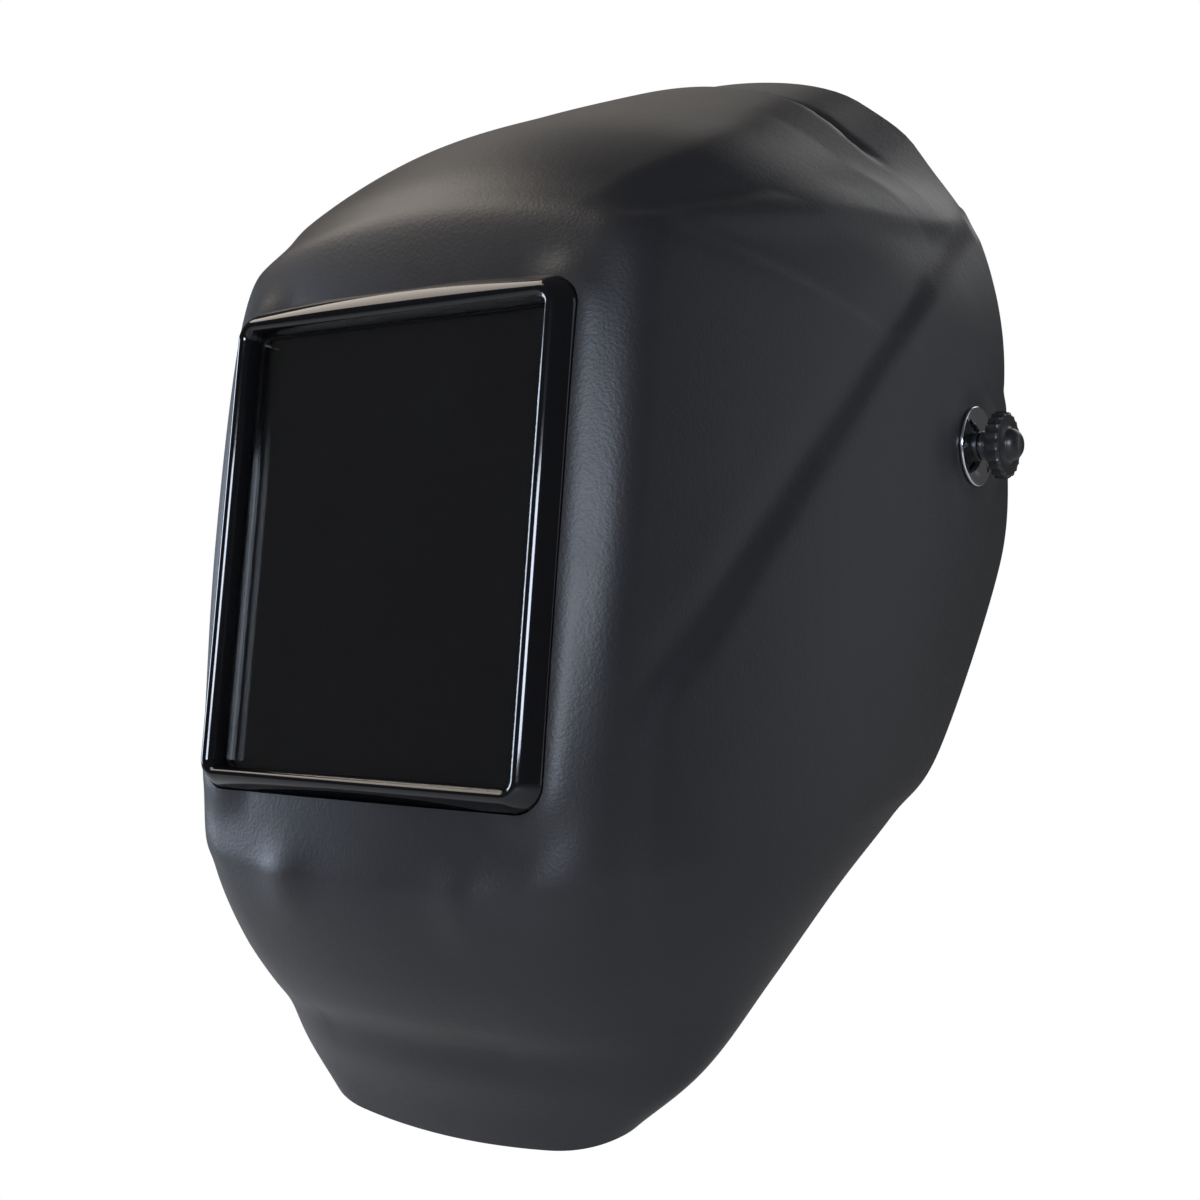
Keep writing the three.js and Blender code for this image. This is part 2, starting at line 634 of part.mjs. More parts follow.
/** A piece made along X, turned to lie along the brow band's normal at an angle. */
function onBrow(geometry, angle, z) {
  const [x, y] = browPoint(angle);
  const [outX, outY] = browPoint(angle, 1);
  return geometry.rotateZ(Math.atan2(outY - y, outX - x)).translate(x, y, z);
}

function makeArm() {
  const middle = (armInner + armOuter) / 2;
  const line = [
    ...steps(degrees(43), degrees(58), 4).map((angle) => browPoint(angle, 0.4 + ARM_THICKNESS / 2)),
    [middle - 18.5, -23.5],
    [middle - 9, -18.5],
    [middle - 2.2, -12],
    [middle, -5],
    [middle, 6],
    [middle, 14],
  ];
  const bar = ribbon(line, ARM_THICKNESS, -ARM_HEIGHT / 2, ARM_HEIGHT / 2);
  const holes = ARM_RIVETS.map(([, angle]) =>
    onBrow(rod(RIVET_RADIUS + GAP, -6, 8, 12), angle, rivetZ));
  return cut(bar, rod(boreRadius, armInner - 10, armOuter + 10, 20), ...holes);
}

function makeStopPlate() {
  const tab = (angle) => block(
    [stopInner, 0, -STOP_TAB_WIDTH / 2],
    [stopOuter, STOP_TAB_REACH, STOP_TAB_WIDTH / 2],
  ).rotateX(Math.PI - angle);
  const spread = 2 * Math.atan2(STOP_TAB_WIDTH / 2, STOP_RADIUS + 1) + degrees(1);
  const plateDisc = join(
    rod(STOP_RADIUS, stopInner, stopOuter),
    tab(STOP_LUG_ANGLE - spread),
    tab(STOP_LUG_ANGLE + TILT_RANGE + spread),
  );
  return cut(plateDisc, rod(boreRadius, stopInner - 1, stopOuter + 1));
}

function makeSlottedWasher() {
  const cup = turned([
    [boreRadius, slottedInner + SLOTTED_WASHER_CUP],
    [WASHER_RADIUS - 4, slottedInner + SLOTTED_WASHER_CUP * 0.6],
    [WASHER_RADIUS, slottedInner],
    [WASHER_RADIUS, slottedInner + SLOTTED_WASHER_THICKNESS * 0.7],
    [WASHER_RADIUS - 0.6, slottedInner + SLOTTED_WASHER_THICKNESS],
    [WASHER_RADIUS - 4, slottedOuter - SLOTTED_WASHER_CUP * 0.4],
    [boreRadius, slottedOuter],
    [boreRadius, slottedInner + SLOTTED_WASHER_CUP],
  ], 24);
  const slots = steps(0, 3, 3).map((turn) =>
    block([slottedInner - 1, 5.5, -0.8], [slottedOuter + 1, WASHER_RADIUS - 1.6, 0.8])
      .rotateX((turn * Math.PI) / 2 + Math.PI / 4));
  return cut(cup, ...slots);
}

function makeTensionKnob() {
  const body = turned([
    [0, knobTip],
    [KNOB_DOME_RADIUS * 0.55, knobTip - 0.5],
    [KNOB_DOME_RADIUS * 0.88, knobTip - 1.7],
    [KNOB_DOME_RADIUS, flangeOuter],
    [KNOB_RADIUS - 0.8, flangeOuter],
    [KNOB_RADIUS, flangeOuter - 0.8],
    [KNOB_RADIUS, flangeInner + 0.8],
    [KNOB_RADIUS - 0.8, flangeInner],
    [KNOB_NECK_RADIUS, flangeInner],
    [KNOB_NECK_RADIUS, neckInner],
    [boreRadius, neckInner],
    [boreRadius, knobBoreEnd],
    [0, knobBoreEnd],
  ], 14);
  const flutes = steps(0, KNOB_FLUTES - 1, KNOB_FLUTES - 1).map((turn) =>
    rod(1.2, flangeInner - 1, flangeOuter + 1, 6)
      .translate(0, KNOB_RADIUS + 0.3, 0)
      .rotateX((turn * 2 * Math.PI) / KNOB_FLUTES));
  return cut(body, ...flutes);
}

for (const [side, sign] of [["left", 1], ["right", -1]]) {
  const pivot = new THREE.Group();
  pivot.scale.x = sign;
  helmet.add(pivot);
  const carrier = new THREE.Group();
  carrier.scale.x = sign;
  headgear.add(carrier);
  const bolt = join(
    block([armInner - GAP - BOLT_HEAD_THICKNESS, -BOLT_HEAD / 2, -BOLT_HEAD / 2],
      [armInner - GAP, BOLT_HEAD / 2, BOLT_HEAD / 2]),
    rod(BOLT_RADIUS, armInner - 1, knobBoreEnd - 0.4),
  );
  add(carrier, "side_arm_" + side, makeArm(), bandPlastic);
  add(carrier, "pivot_bolt_" + side, bolt, steel);
  add(pivot, "stop_plate_" + side, makeStopPlate(), bandPlastic);
  add(pivot, "friction_washer_" + side,
    ring(boreRadius, WASHER_RADIUS, frictionInner, frictionOuter), nylon);
  add(pivot, "spacer_bush_" + side, ring(boreRadius, WASHER_RADIUS - 4, bushInner, bushOuter), nylon);
  add(pivot, "slotted_washer_" + side, makeSlottedWasher(), chrome);
  add(pivot, "tension_knob_" + side, makeTensionKnob(), knobPlastic);
  for (const [place, angle] of ARM_RIVETS) {
    const outside = 0.4 + ARM_THICKNESS + 0.4;
    const inside = -BAND_THICKNESS - 0.4;
    const rivet = turned([
      [0, inside - RIVET_HEAD_THICKNESS],
      [RIVET_HEAD_RADIUS - 1, inside - RIVET_HEAD_THICKNESS],
      [RIVET_HEAD_RADIUS, inside],
      [RIVET_RADIUS, inside],
      [RIVET_RADIUS, outside],
      [RIVET_HEAD_RADIUS, outside],
      [RIVET_HEAD_RADIUS - 1, outside + RIVET_HEAD_THICKNESS],
      [0, outside + RIVET_HEAD_THICKNESS],
    ], 12);
    add(carrier, `arm_rivet_${side}_${place}`, onBrow(rivet, angle, rivetZ), steel);
  }
}

// ---------------------------------------------------------------- headband

const strapHole = (side) =>
  rod(RIVET_RADIUS + GAP, BAND_HALF_WIDTH - 8, BAND_HALF_WIDTH + 8, 12)
    .scale(side, 1, 1)
    .translate(0, STRAP_BACK, STRAP_RISE);

function makeBrowBand() {
  const line = steps(degrees(-91), degrees(91), 28).map((angle) => browPoint(angle, -BAND_THICKNESS / 2));
  const strip = ribbon(line, BAND_THICKNESS, BAND_LOW, BAND_HIGH);
  const holes = [1, -1].flatMap((side) => [
    strapHole(side),
    ...ARM_RIVETS.map(([, angle]) =>
      onBrow(rod(RIVET_RADIUS + GAP, -8, 6, 12), angle, rivetZ).scale(side, 1, 1)),
  ]);
  return cut(strip, ...holes.map(outward));
}

const sweatLine = steps(degrees(-41), degrees(41), 16).map((angle) =>
  browPoint(angle, -BAND_THICKNESS - 0.5 - SWEATBAND_THICKNESS / 2));
add(headgear, "brow_band", makeBrowBand(), bandPlastic);
add(headgear, "sweatband",
  ribbon(sweatLine, SWEATBAND_THICKNESS, BAND_LOW - SWEATBAND_MARGIN, BAND_HIGH + SWEATBAND_MARGIN), cloth);

// The crown strap is two bands that overlap on top, pinned by a peg, and swing on their rivets.
const strapHalfWidth = BAND_HALF_WIDTH + 0.5 + STRAP_THICKNESS / 2;

/** Half of the crown strap as a band over the head, higher by a rise where it lies on top. */
function makeStrap(side, rise) {
  const line = steps(degrees(-4), degrees(104), 16).map((angle) => [
    side * strapHalfWidth * Math.cos(angle),
    STRAP_RISE + (STRAP_TOP + rise - STRAP_RISE) * Math.sin(angle),
  ]);
  const strip = ribbon(line, STRAP_THICKNESS, STRAP_BACK - STRAP_WIDTH / 2, STRAP_BACK + STRAP_WIDTH / 2)
    .rotateX(Math.PI / 2)
    .scale(1, -1, 1);
  const pegHoles = steps(-12, 12, 2).map((x) =>
    rod(RIVET_RADIUS + GAP, STRAP_TOP - 6, STRAP_TOP + 8, 12)
      .rotateY(-Math.PI / 2)
      .translate(x, STRAP_BACK, 0));
  return cut(outward(strip), outward(strapHole(side)), ...pegHoles);
}

const strapRise = STRAP_THICKNESS + 0.6;
add(headgear, "crown_strap_left", makeStrap(1, 0), bandPlastic);
add(headgear, "crown_strap_right", makeStrap(-1, strapRise), bandPlastic);
const pegFoot = STRAP_TOP - STRAP_THICKNESS / 2 - 0.3;
const pegHead = STRAP_TOP + strapRise + STRAP_THICKNESS / 2 + 0.3;
add(headgear, "crown_peg", turned([
  [0, pegFoot - 1.2],
  [RIVET_HEAD_RADIUS - 1, pegFoot - 1.2],
  [RIVET_HEAD_RADIUS - 1, pegFoot],
  [RIVET_RADIUS, pegFoot],
  [RIVET_RADIUS, pegHead],
  [RIVET_HEAD_RADIUS + 1, pegHead],
  [RIVET_HEAD_RADIUS, pegHead + 1.4],
  [0, pegHead + 1.4],
], 16).rotateY(-Math.PI / 2).translate(0, STRAP_BACK, 0), knobPlastic);

const strapOuter = strapHalfWidth + STRAP_THICKNESS / 2;
const [bandAtStrap] = browPoint(Math.acos((BAND_BACK - STRAP_BACK) / BAND_LENGTH), 0);
for (const [side, sign] of [["left", 1], ["right", -1]]) {
  const inside = bandAtStrap - BAND_THICKNESS - 1.5;
  const outside = strapOuter + 0.3;
  const rivet = turned([
    [0, inside - RIVET_HEAD_THICKNESS],
    [RIVET_HEAD_RADIUS, inside - RIVET_HEAD_THICKNESS],
    [RIVET_HEAD_RADIUS, inside],
    [RIVET_RADIUS, inside],
    [RIVET_RADIUS, outside],
    [RIVET_HEAD_RADIUS, outside],
    [RIVET_HEAD_RADIUS - 1, outside + RIVET_HEAD_THICKNESS],
    [0, outside + RIVET_HEAD_THICKNESS],
  ], 14).translate(0, STRAP_BACK, STRAP_RISE).scale(sign, 1, 1);
  add(headgear, "strap_rivet_" + side, rivet, steel);
}

// ---------------------------------------------------------------- ratchet at the nape

const nape = new THREE.Group();
nape.position.y = BAND_BACK;
headgear.add(nape);

/** Points on the rear arc, its angle measured from straight back. */
const arc = (radius, from, to, count) =>
  steps(from, to, count).map((angle) => [radius * Math.sin(angle), radius * Math.cos(angle)]);
const arcBar = (inner, outer, reach, low, high, count = 10) =>
  ribbon(arc((inner + outer) / 2, -reach, reach, count), outer - inner, low, high);

/** A rack: a flat tail round the head that narrows to a toothed strip beside the pinion. */
function makeRack(side) {
  const rackTip = degrees(-12);
  const neck = degrees(28);
  const tail = degrees(91);
  const toothPitch = (Math.PI * PINION_RADIUS) / PINION_TEETH / rackInner;
  const teeth = 2 * Math.floor((neck - rackTip) / (2 * toothPitch));
  const toothed = steps(rackTip, rackTip + teeth * toothPitch, teeth);
  const plain = steps(neck + degrees(1), tail, 10);
  const line = [...toothed, ...plain].map((angle) => {
    const radius = (rackInner + rackOuter) / 2;
    return [side * radius * Math.sin(angle), radius * Math.cos(angle)];
  });
  const toothEdge = (i) => PINION_RADIUS + GAP + (i % 2 ? TOOTH : 3 * TOOTH);
  const nearEdge = (i) => (i < toothed.length ? toothEdge(i) : -RACK_HALF_HEIGHT);
  const bar = ribbon(line, RACK_THICKNESS, nearEdge, RACK_HALF_HEIGHT);
  return side > 0 ? bar : bar.scale(1, 1, -1);
}

function makePinion() {
  const toothAngle = (2 * Math.PI) / PINION_TEETH;
  const outline = steps(0, 2 * PINION_TEETH - 1, 2 * PINION_TEETH - 1).flatMap((i) => {
    const radius = PINION_RADIUS + (i % 2 ? TOOTH : -TOOTH);
    return [-0.15, 0.15].map((turn) => {
      const angle = (i / 2 + turn) * toothAngle;
      return new THREE.Vector2(radius * Math.cos(angle), radius * Math.sin(angle));
    });
  });
  const gear = new THREE.ExtrudeGeometry(new THREE.Shape(outline), {
    depth: slotOuter - slotInner - 0.8,
    bevelEnabled: false,
  }).rotateY(Math.PI / 2).translate(slotInner + 0.4, 0, 0);
  const shaft = rod(PINION_RADIUS - 0.9, slotInner + 1, knobFace + 9.3, 20);
  const hole = rod(SCREW_RADIUS + 0.6, knobFace + 3, knobFace + 12, 12);
  return cut(join(gear, shaft), hole);
}

/** A piece made along X, turned to point straight back. */
const rearward = (geometry) => geometry.rotateZ(Math.PI / 2);

function makeRatchetKnob() {
  const end = knobFace + RATCHET_KNOB_THICKNESS;
  const body = turned([
    [PINION_RADIUS - 0.5, knobFace + 3.4],
    [6, knobFace + 3.4],
    [6, knobFace + 3],
    [13.3, knobFace + 3],
    [13.3, knobFace],
    [RATCHET_KNOB_RADIUS - 1, knobFace],
    [RATCHET_KNOB_RADIUS, knobFace + 1],
    [RATCHET_KNOB_RADIUS, end - 3],
    [RATCHET_KNOB_RADIUS - 2, end - 0.8],
    [RATCHET_KNOB_RADIUS - 5, end],
    [4.6, end],
    [4.6, end - 3],
    [SCREW_RADIUS + 0.6, end - 3],
    [SCREW_RADIUS + 0.6, end - 4.4],
    [PINION_RADIUS - 0.5, end - 4.4],
    [PINION_RADIUS - 0.5, knobFace + 3.4],
  ], 24);
  const flutes = steps(0, 11, 11).map((turn) =>
    rod(2.6, knobFace + 1, end + 1, 6)
      .translate(0, RATCHET_KNOB_RADIUS + 1.4, 0)
      .rotateX((turn * Math.PI) / 6));
  return cut(body, ...flutes);
}

function makeHousing() {
  const reach = HOUSING_ARC;
  const shellBar = arcBar(slotInner, housingOuter, reach, -HOUSING_HALF_HEIGHT, HOUSING_HALF_HEIGHT);
  const slot = arcBar(slotInner - 2, slotOuter, reach + 0.1, -RACK_HALF_HEIGHT - 1, RACK_HALF_HEIGHT + 1);
  const bore = rearward(rod(PINION_RADIUS - 0.5, slotInner, housingOuter + 2, 20));
  return cut(shellBar, slot, bore);
}

add(nape, "ratchet_housing", makeHousing(), bandPlastic);
add(nape, "ratchet_cover",
  arcBar(coverInner, coverOuter, HOUSING_ARC, -HOUSING_HALF_HEIGHT, HOUSING_HALF_HEIGHT), bandPlastic);
add(nape, "nape_pad",
  arcBar(padOuter - NAPE_PAD_THICKNESS, padOuter, HOUSING_ARC + degrees(4),
    -HOUSING_HALF_HEIGHT - 4, HOUSING_HALF_HEIGHT + 4, 12), cloth);
add(nape, "rack_left", makeRack(1), bandPlastic);
add(nape, "rack_right", makeRack(-1), bandPlastic);
add(nape, "detent_spring", rearward(ring(6.6, 12.8, knobFace + 0.1, knobFace + 1.3)), steel);
add(nape, "pinion", rearward(makePinion()), nylon);
add(nape, "ratchet_knob", rearward(makeRatchetKnob()), knobPlastic);
const knobEnd = knobFace + RATCHET_KNOB_THICKNESS;
add(nape, "knob_screw", rearward(turned([
  [0, knobFace + 4],
  [SCREW_RADIUS, knobFace + 4],
  [SCREW_RADIUS, knobEnd - 2.7],
  [4, knobEnd - 2.7],
  [4, knobEnd - 1.4],
  [3, knobEnd - 0.6],
  [0, knobEnd - 0.6],
], 16)), steel);

export default helmet;
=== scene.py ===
"""Looks of the welding helmet: a moulded shell with a glossy window frame, over a ratchet headgear.

Lengths are millimetres in the helmet's own frame (+Z up, the wearer faces -Y, +X is the wearer's
left, the origin is the middle of the pivot axis) and become metres when a mesh is made.
"""

import json
import logging
import math
from dataclasses import dataclass, field
from enum import Enum

import bpy
import numpy as np
from mathutils import Matrix, Vector


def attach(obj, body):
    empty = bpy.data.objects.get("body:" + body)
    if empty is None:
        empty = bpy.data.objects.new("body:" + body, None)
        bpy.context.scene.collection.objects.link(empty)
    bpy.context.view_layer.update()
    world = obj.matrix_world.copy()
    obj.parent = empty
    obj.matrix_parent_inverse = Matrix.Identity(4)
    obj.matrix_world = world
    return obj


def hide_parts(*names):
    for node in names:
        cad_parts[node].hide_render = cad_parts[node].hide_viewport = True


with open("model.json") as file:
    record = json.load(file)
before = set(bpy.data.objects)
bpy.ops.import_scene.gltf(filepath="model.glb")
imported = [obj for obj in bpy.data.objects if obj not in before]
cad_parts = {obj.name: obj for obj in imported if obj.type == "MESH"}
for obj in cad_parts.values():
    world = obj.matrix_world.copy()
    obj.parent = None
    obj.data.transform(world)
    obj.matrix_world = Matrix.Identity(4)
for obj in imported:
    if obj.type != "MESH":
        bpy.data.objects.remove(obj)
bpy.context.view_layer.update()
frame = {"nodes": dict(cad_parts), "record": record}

log = logging.getLogger("welding_helmet")
MM = 0.001

Array = np.ndarray
Colour = tuple[float, float, float]


class Body(Enum):
    """The rigid bodies that pieces ride on."""

    HEADBAND = "headband"
    HELMET = "helmet"
    CROWN_STRAP = "crown_strap"
    KNOB_LEFT = "knob_left"
    KNOB_RIGHT = "knob_right"
    RATCHET = "ratchet"
    RATCHET_KNOB = "ratchet_knob"
    RACK_LEFT = "rack_left"
    RACK_RIGHT = "rack_right"


class Side(Enum):
    """The wearer's sides, and the sign that each has along X."""

    LEFT = 1
    RIGHT = -1

    @property
    def word(self) -> str:
        """The side's name as node names spell it."""
        return self.name.lower()


# ---------------------------------------------------------------- frames of reference

HEADGEAR_LEAN = math.radians(14)
WINDOW_LEAN = math.radians(6.8)
WINDOW_CENTRE = np.array([0.0, -142.0, -31.0])
WINDOW_AXES = np.array([
    [1.0, 0.0, 0.0],
    [0.0, math.sin(WINDOW_LEAN), math.cos(WINDOW_LEAN)],
    [0.0, -math.cos(WINDOW_LEAN), math.sin(WINDOW_LEAN)],
])
HEADGEAR_AXES = np.array([
    [1.0, 0.0, 0.0],
    [0.0, math.cos(HEADGEAR_LEAN), -math.sin(HEADGEAR_LEAN)],
    [0.0, math.sin(HEADGEAR_LEAN), math.cos(HEADGEAR_LEAN)],
])


def from_window(points: Array) -> Array:
    """Turns window coordinates (across, up, out) into the helmet's: centre plus each axis's share."""
    return WINDOW_CENTRE + points @ WINDOW_AXES


def to_window(points: Array) -> Array:
    """Turns the helmet's coordinates into the window's (across, up, out)."""
    return (points - WINDOW_CENTRE) @ WINDOW_AXES.T


def from_headgear(points: Array) -> Array:
    """Turns headgear coordinates into the helmet's: leant so the brow is high and the nape low."""
    return points @ HEADGEAR_AXES


# ---------------------------------------------------------------- mesh building

def smoothstep(low: float, high: float, value: Array) -> Array:
    """Rises from 0 at low to 1 at high as 3t^2 - 2t^3 of the clamped share t."""
    t = np.clip((value - low) / (high - low), 0.0, 1.0)
    return t * t * (3.0 - 2.0 * t)


def bump(value: Array, centre: float, width: float) -> Array:
    """A bell curve: e to the minus square of the distance from the centre over the width."""
    return np.exp(-(((value - centre) / width) ** 2))


def grid_quads(rows: int, columns: int, wrap_rows: bool, wrap_columns: bool, start: int = 0) -> Array:
    """Quads over a grid of vertices.

    Args:
        rows: Rows of vertices.
        columns: Vertices in each row.
        wrap_rows: Whether the last row joins the first.
        wrap_columns: Whether each row's end joins its start.
        start: Index of the grid's first vertex.

    Returns:
        Corner indices, four a quad.
    """
    i = np.arange(rows if wrap_rows else rows - 1)[:, None]
    j = np.arange(columns if wrap_columns else columns - 1)[None, :]
    i2 = (i + 1) % rows
    j2 = (j + 1) % columns
    corners = [i * columns + j, i * columns + j2, i2 * columns + j2, i2 * columns + j]
    return start + np.stack([np.broadcast_to(c, (i.size, j.size)) for c in corners], -1).reshape(-1, 4)


def make_mesh(name: str, points: Array, faces: list, sharp: float = 35.0) -> bpy.types.Object:
    """Makes an object from points in millimetres.

    Args:
        name: The piece's name.
        points: Vertices, one row each.
        faces: Corner index lists or rows of an array.
        sharp: Angle in degrees past which an edge shades sharp.

    Returns:
        The linked object, at the origin, its normals pointing out.
    """
    mesh = bpy.data.meshes.new(name)
    mesh.from_pydata((points * MM).tolist(), [], [list(map(int, f)) for f in faces])
    mesh.update()
    obj = bpy.data.objects.new(name, mesh)
    bpy.context.scene.collection.objects.link(obj)
    face_out(mesh)
    shade(mesh, sharp)
    return obj


def face_out(mesh: bpy.types.Mesh) -> None:
    """Turns every face the other way if the mesh's signed volume is negative."""
    mesh.calc_loop_triangles()
    corners = np.empty(len(mesh.loop_triangles) * 3, np.int32)
    mesh.loop_triangles.foreach_get("vertices", corners)
    places = np.empty(len(mesh.vertices) * 3)
    mesh.vertices.foreach_get("co", places)
    a, b, c = places.reshape(-1, 3)[corners.reshape(-1, 3)].transpose(1, 0, 2)
    if np.einsum("ij,ij->i", a, np.cross(b, c)).sum() < 0:
        mesh.flip_normals()


def shade(mesh: bpy.types.Mesh, sharp: float) -> None:
    """Shades a mesh smooth, with edges past an angle in degrees sharp."""
    mesh.polygons.foreach_set("use_smooth", np.ones(len(mesh.polygons), bool))
    mesh.set_sharp_from_angle(angle=math.radians(sharp))


def tube(name: str, rings: Array, sharp: float = 35.0) -> bpy.types.Object:
    """Skins closed rings of points (ring, point, xyz) in order and caps both ends."""
    count, size = rings.shape[:2]
    faces = grid_quads(count, size, False, True).tolist()
    faces.append(list(range(size)))
    faces.append(list(range((count - 1) * size, count * size))[::-1])
    return make_mesh(name, rings.reshape(-1, 3), faces, sharp)


def torus(name: str, rings: Array, sharp: float = 35.0) -> bpy.types.Object:
    """Skins closed rings of points in order, the last ring joined to the first."""
    faces = grid_quads(rings.shape[0], rings.shape[1], True, True)
    return make_mesh(name, rings.reshape(-1, 3), faces, sharp)


def rounded_outline(half_x: Array, half_y: Array, radius: Array, arc: int = 7) -> Array:
    """A rectangle with round corners: each corner a quarter circle about its own centre.

    Args:
        half_x: Half widths, one an outline.
        half_y: Half heights.
        radius: Corner radii.
        arc: Steps in each corner.

    Returns:
        Points (outline, point, xy), counter-clockwise from the right-hand side.
    """
    angle = np.concatenate([np.linspace(q, q + 1, arc + 1) for q in range(4)]) * math.pi / 2
    sign_x = np.repeat([1, -1, -1, 1], arc + 1)
    sign_y = np.repeat([1, 1, -1, -1], arc + 1)
    half_x, half_y, radius = (np.atleast_1d(np.asarray(v, float))[:, None] for v in (half_x, half_y, radius))
    x = sign_x * (half_x - radius) + radius * np.cos(angle)
    y = sign_y * (half_y - radius) + radius * np.sin(angle)
    return np.stack([x, y], -1)


def ribbon_rings(line: Array, thickness: float, low: Array, high: Array, edge: float) -> Array:
    """Rings of a flat bar with rounded edges that follows a line in plan.

    Each ring is a rounded rectangle set across the line: its width runs along the line's normal
    and its height along Z, from low to high.

    Args:
        line: Points (n, 2) along the middle of the bar.
        thickness: Width of the section.
        low: Lowest z at each point.
        high: Highest z at each point.
        edge: Radius of the section's corners.

    Returns:
        Rings (n, points, 3).
    """
    along = np.gradient(line, axis=0)
    along /= np.linalg.norm(along, axis=1, keepdims=True)
    across = np.stack([along[:, 1], -along[:, 0]], -1)
    low, high = np.broadcast_to(low, len(line)), np.broadcast_to(high, len(line))
    section = rounded_outline(np.full(len(line), thickness / 2), (high - low) / 2, np.full(len(line), edge), 3)
    plan = line[:, None, :] + section[..., :1] * across[:, None, :]
    z = section[..., 1] + ((low + high) / 2)[:, None]
    return np.concatenate([plan, z[..., None]], -1)


def turned_rings(profile: Array, count: int, ripple: Array | None = None) -> Array:
    """Rings of a turned piece about X.

    A profile point (radius r, place x) sweeps the circle (x, r cos a, r sin a); a ripple adds its
    share of a cosine-like wave in the angle to the radius.

    Args:
        profile: Points (n, 2) of radius and x, closed on themselves or ending on the axis.
        count: Steps round the axis.
        ripple: Amounts (n, count) to add to the radius.

    Returns:
        Rings (n, count, 3), one for each profile point.
    """
    angle = np.linspace(0, 2 * math.pi, count, endpoint=False)
    radius = np.repeat(profile[:, :1], count, 1)
    if ripple is not None:
        radius = radius + ripple
    x = np.repeat(profile[:, 1:], count, 1)
    return np.stack([x, radius * np.cos(angle), radius * np.sin(angle)], -1)


def arc_profile(corners: list[tuple[float, float, float]], steps: int = 4) -> Array:
    """A profile whose corners are eased.

    Each corner (radius, x, ease) becomes a quadratic curve from a point that far before it to one
    that far after it, with the corner as the control point.
    """
    points = []
    table = np.array(corners, float)
    for i, (r, x, ease) in enumerate(table):
        here = np.array([r, x])
        if ease <= 0 or i in (0, len(table) - 1):
            points.append(here)
            continue
        before, after = table[i - 1, :2] - here, table[i + 1, :2] - here
        start = here + before / np.linalg.norm(before) * ease
        end = here + after / np.linalg.norm(after) * ease
        t = np.linspace(0, 1, steps + 1)[:, None]
        points.extend((1 - t) ** 2 * start + 2 * t * (1 - t) * here + t * t * end)
    return np.array(points)


def cut_out(obj: bpy.types.Object, cutters: list[bpy.types.Object], sharp: float = 35.0) -> None:
    """Cuts closed pieces out of another and removes the cutters."""
    for cutter in cutters:
        modifier = obj.modifiers.new("cut", "BOOLEAN")
        modifier.object = cutter
        modifier.operation = "DIFFERENCE"
        modifier.solver = "EXACT"
        bpy.context.view_layer.update()
        result = bpy.data.meshes.new_from_object(obj.evaluated_get(bpy.context.evaluated_depsgraph_get()))
        obj.modifiers.clear()
        obj.data = result
        bpy.data.objects.remove(cutter)
    shade(obj.data, sharp)


# ---------------------------------------------------------------- finishes

class Graph:
    """A node tree with short calls to add and join nodes."""

    def __init__(self, tree: bpy.types.NodeTree) -> None:
        """Wraps a node tree."""
        self.tree = tree

    def add(self, kind: str, **settings: object) -> bpy.types.Node:
        """Adds a node of a kind, such as "Bump", and sets its properties."""
        node = self.tree.nodes.new("ShaderNode" + kind)
        for key, value in settings.items():
            setattr(node, key, value)
        return node

    def put(self, source: object, target: bpy.types.NodeSocket) -> None:
        """Joins a socket to another, or sets a plain value on it."""
        if isinstance(source, bpy.types.NodeSocket):
            self.tree.links.new(source, target)
        else:
            target.default_value = source

    def maths(self, operation: str, a: object, b: object = 0.0, clamp: bool = False) -> bpy.types.NodeSocket:
        """The result of a maths node on two values or sockets."""
        node = self.add("Math", operation=operation, use_clamp=clamp)
        self.put(a, node.inputs[0])
        self.put(b, node.inputs[1])
        return node.outputs[0]

    def noise(self, vector: object, scale: object, detail: float = 3.0, rough: float = 0.55) -> bpy.types.NodeSocket:
        """The value of a noise texture at a vector."""
        node = self.add("TexNoise")
        self.put(vector, node.inputs["Vector"])
        self.put(scale, node.inputs["Scale"])
        node.inputs["Detail"].default_value = detail
        node.inputs["Roughness"].default_value = rough
        return node.outputs["Fac"]

    def between(self, value: object, low: float, high: float, to_low: float, to_high: float) -> bpy.types.NodeSocket:
        """Maps a value's range onto another, clamped."""
        node = self.add("MapRange")
        for socket, number in zip(node.inputs, (value, low, high, to_low, to_high)):
            self.put(number, socket)
        return node.outputs[0]

    def mix(self, share: object, a: object, b: object) -> bpy.types.NodeSocket:
        """A colour between two others."""
        node = self.add("Mix", data_type="RGBA")
        self.put(share, node.inputs[0])
        self.put(a, node.inputs[6])
        self.put(b, node.inputs[7])
        return node.outputs[2]


def new_group(name: str, inputs: dict[str, float], outputs: list[str]) -> tuple[Graph, object, object]:
    """Starts a shader node group with float inputs and outputs.

    Args:
        name: The group's name.
        inputs: Each input's name and usual value.
        outputs: The outputs' names.

    Returns:
        The graph, and its group input and output nodes.
    """
    tree = bpy.data.node_groups.new(name, "ShaderNodeTree")
    for key, value in inputs.items():
        tree.interface.new_socket(key, in_out="INPUT", socket_type="NodeSocketFloat").default_value = value
    for key in outputs:
        tree.interface.new_socket(key, in_out="OUTPUT", socket_type="NodeSocketFloat")
    graph = Graph(tree)
    return graph, tree.nodes.new("NodeGroupInput"), tree.nodes.new("NodeGroupOutput")


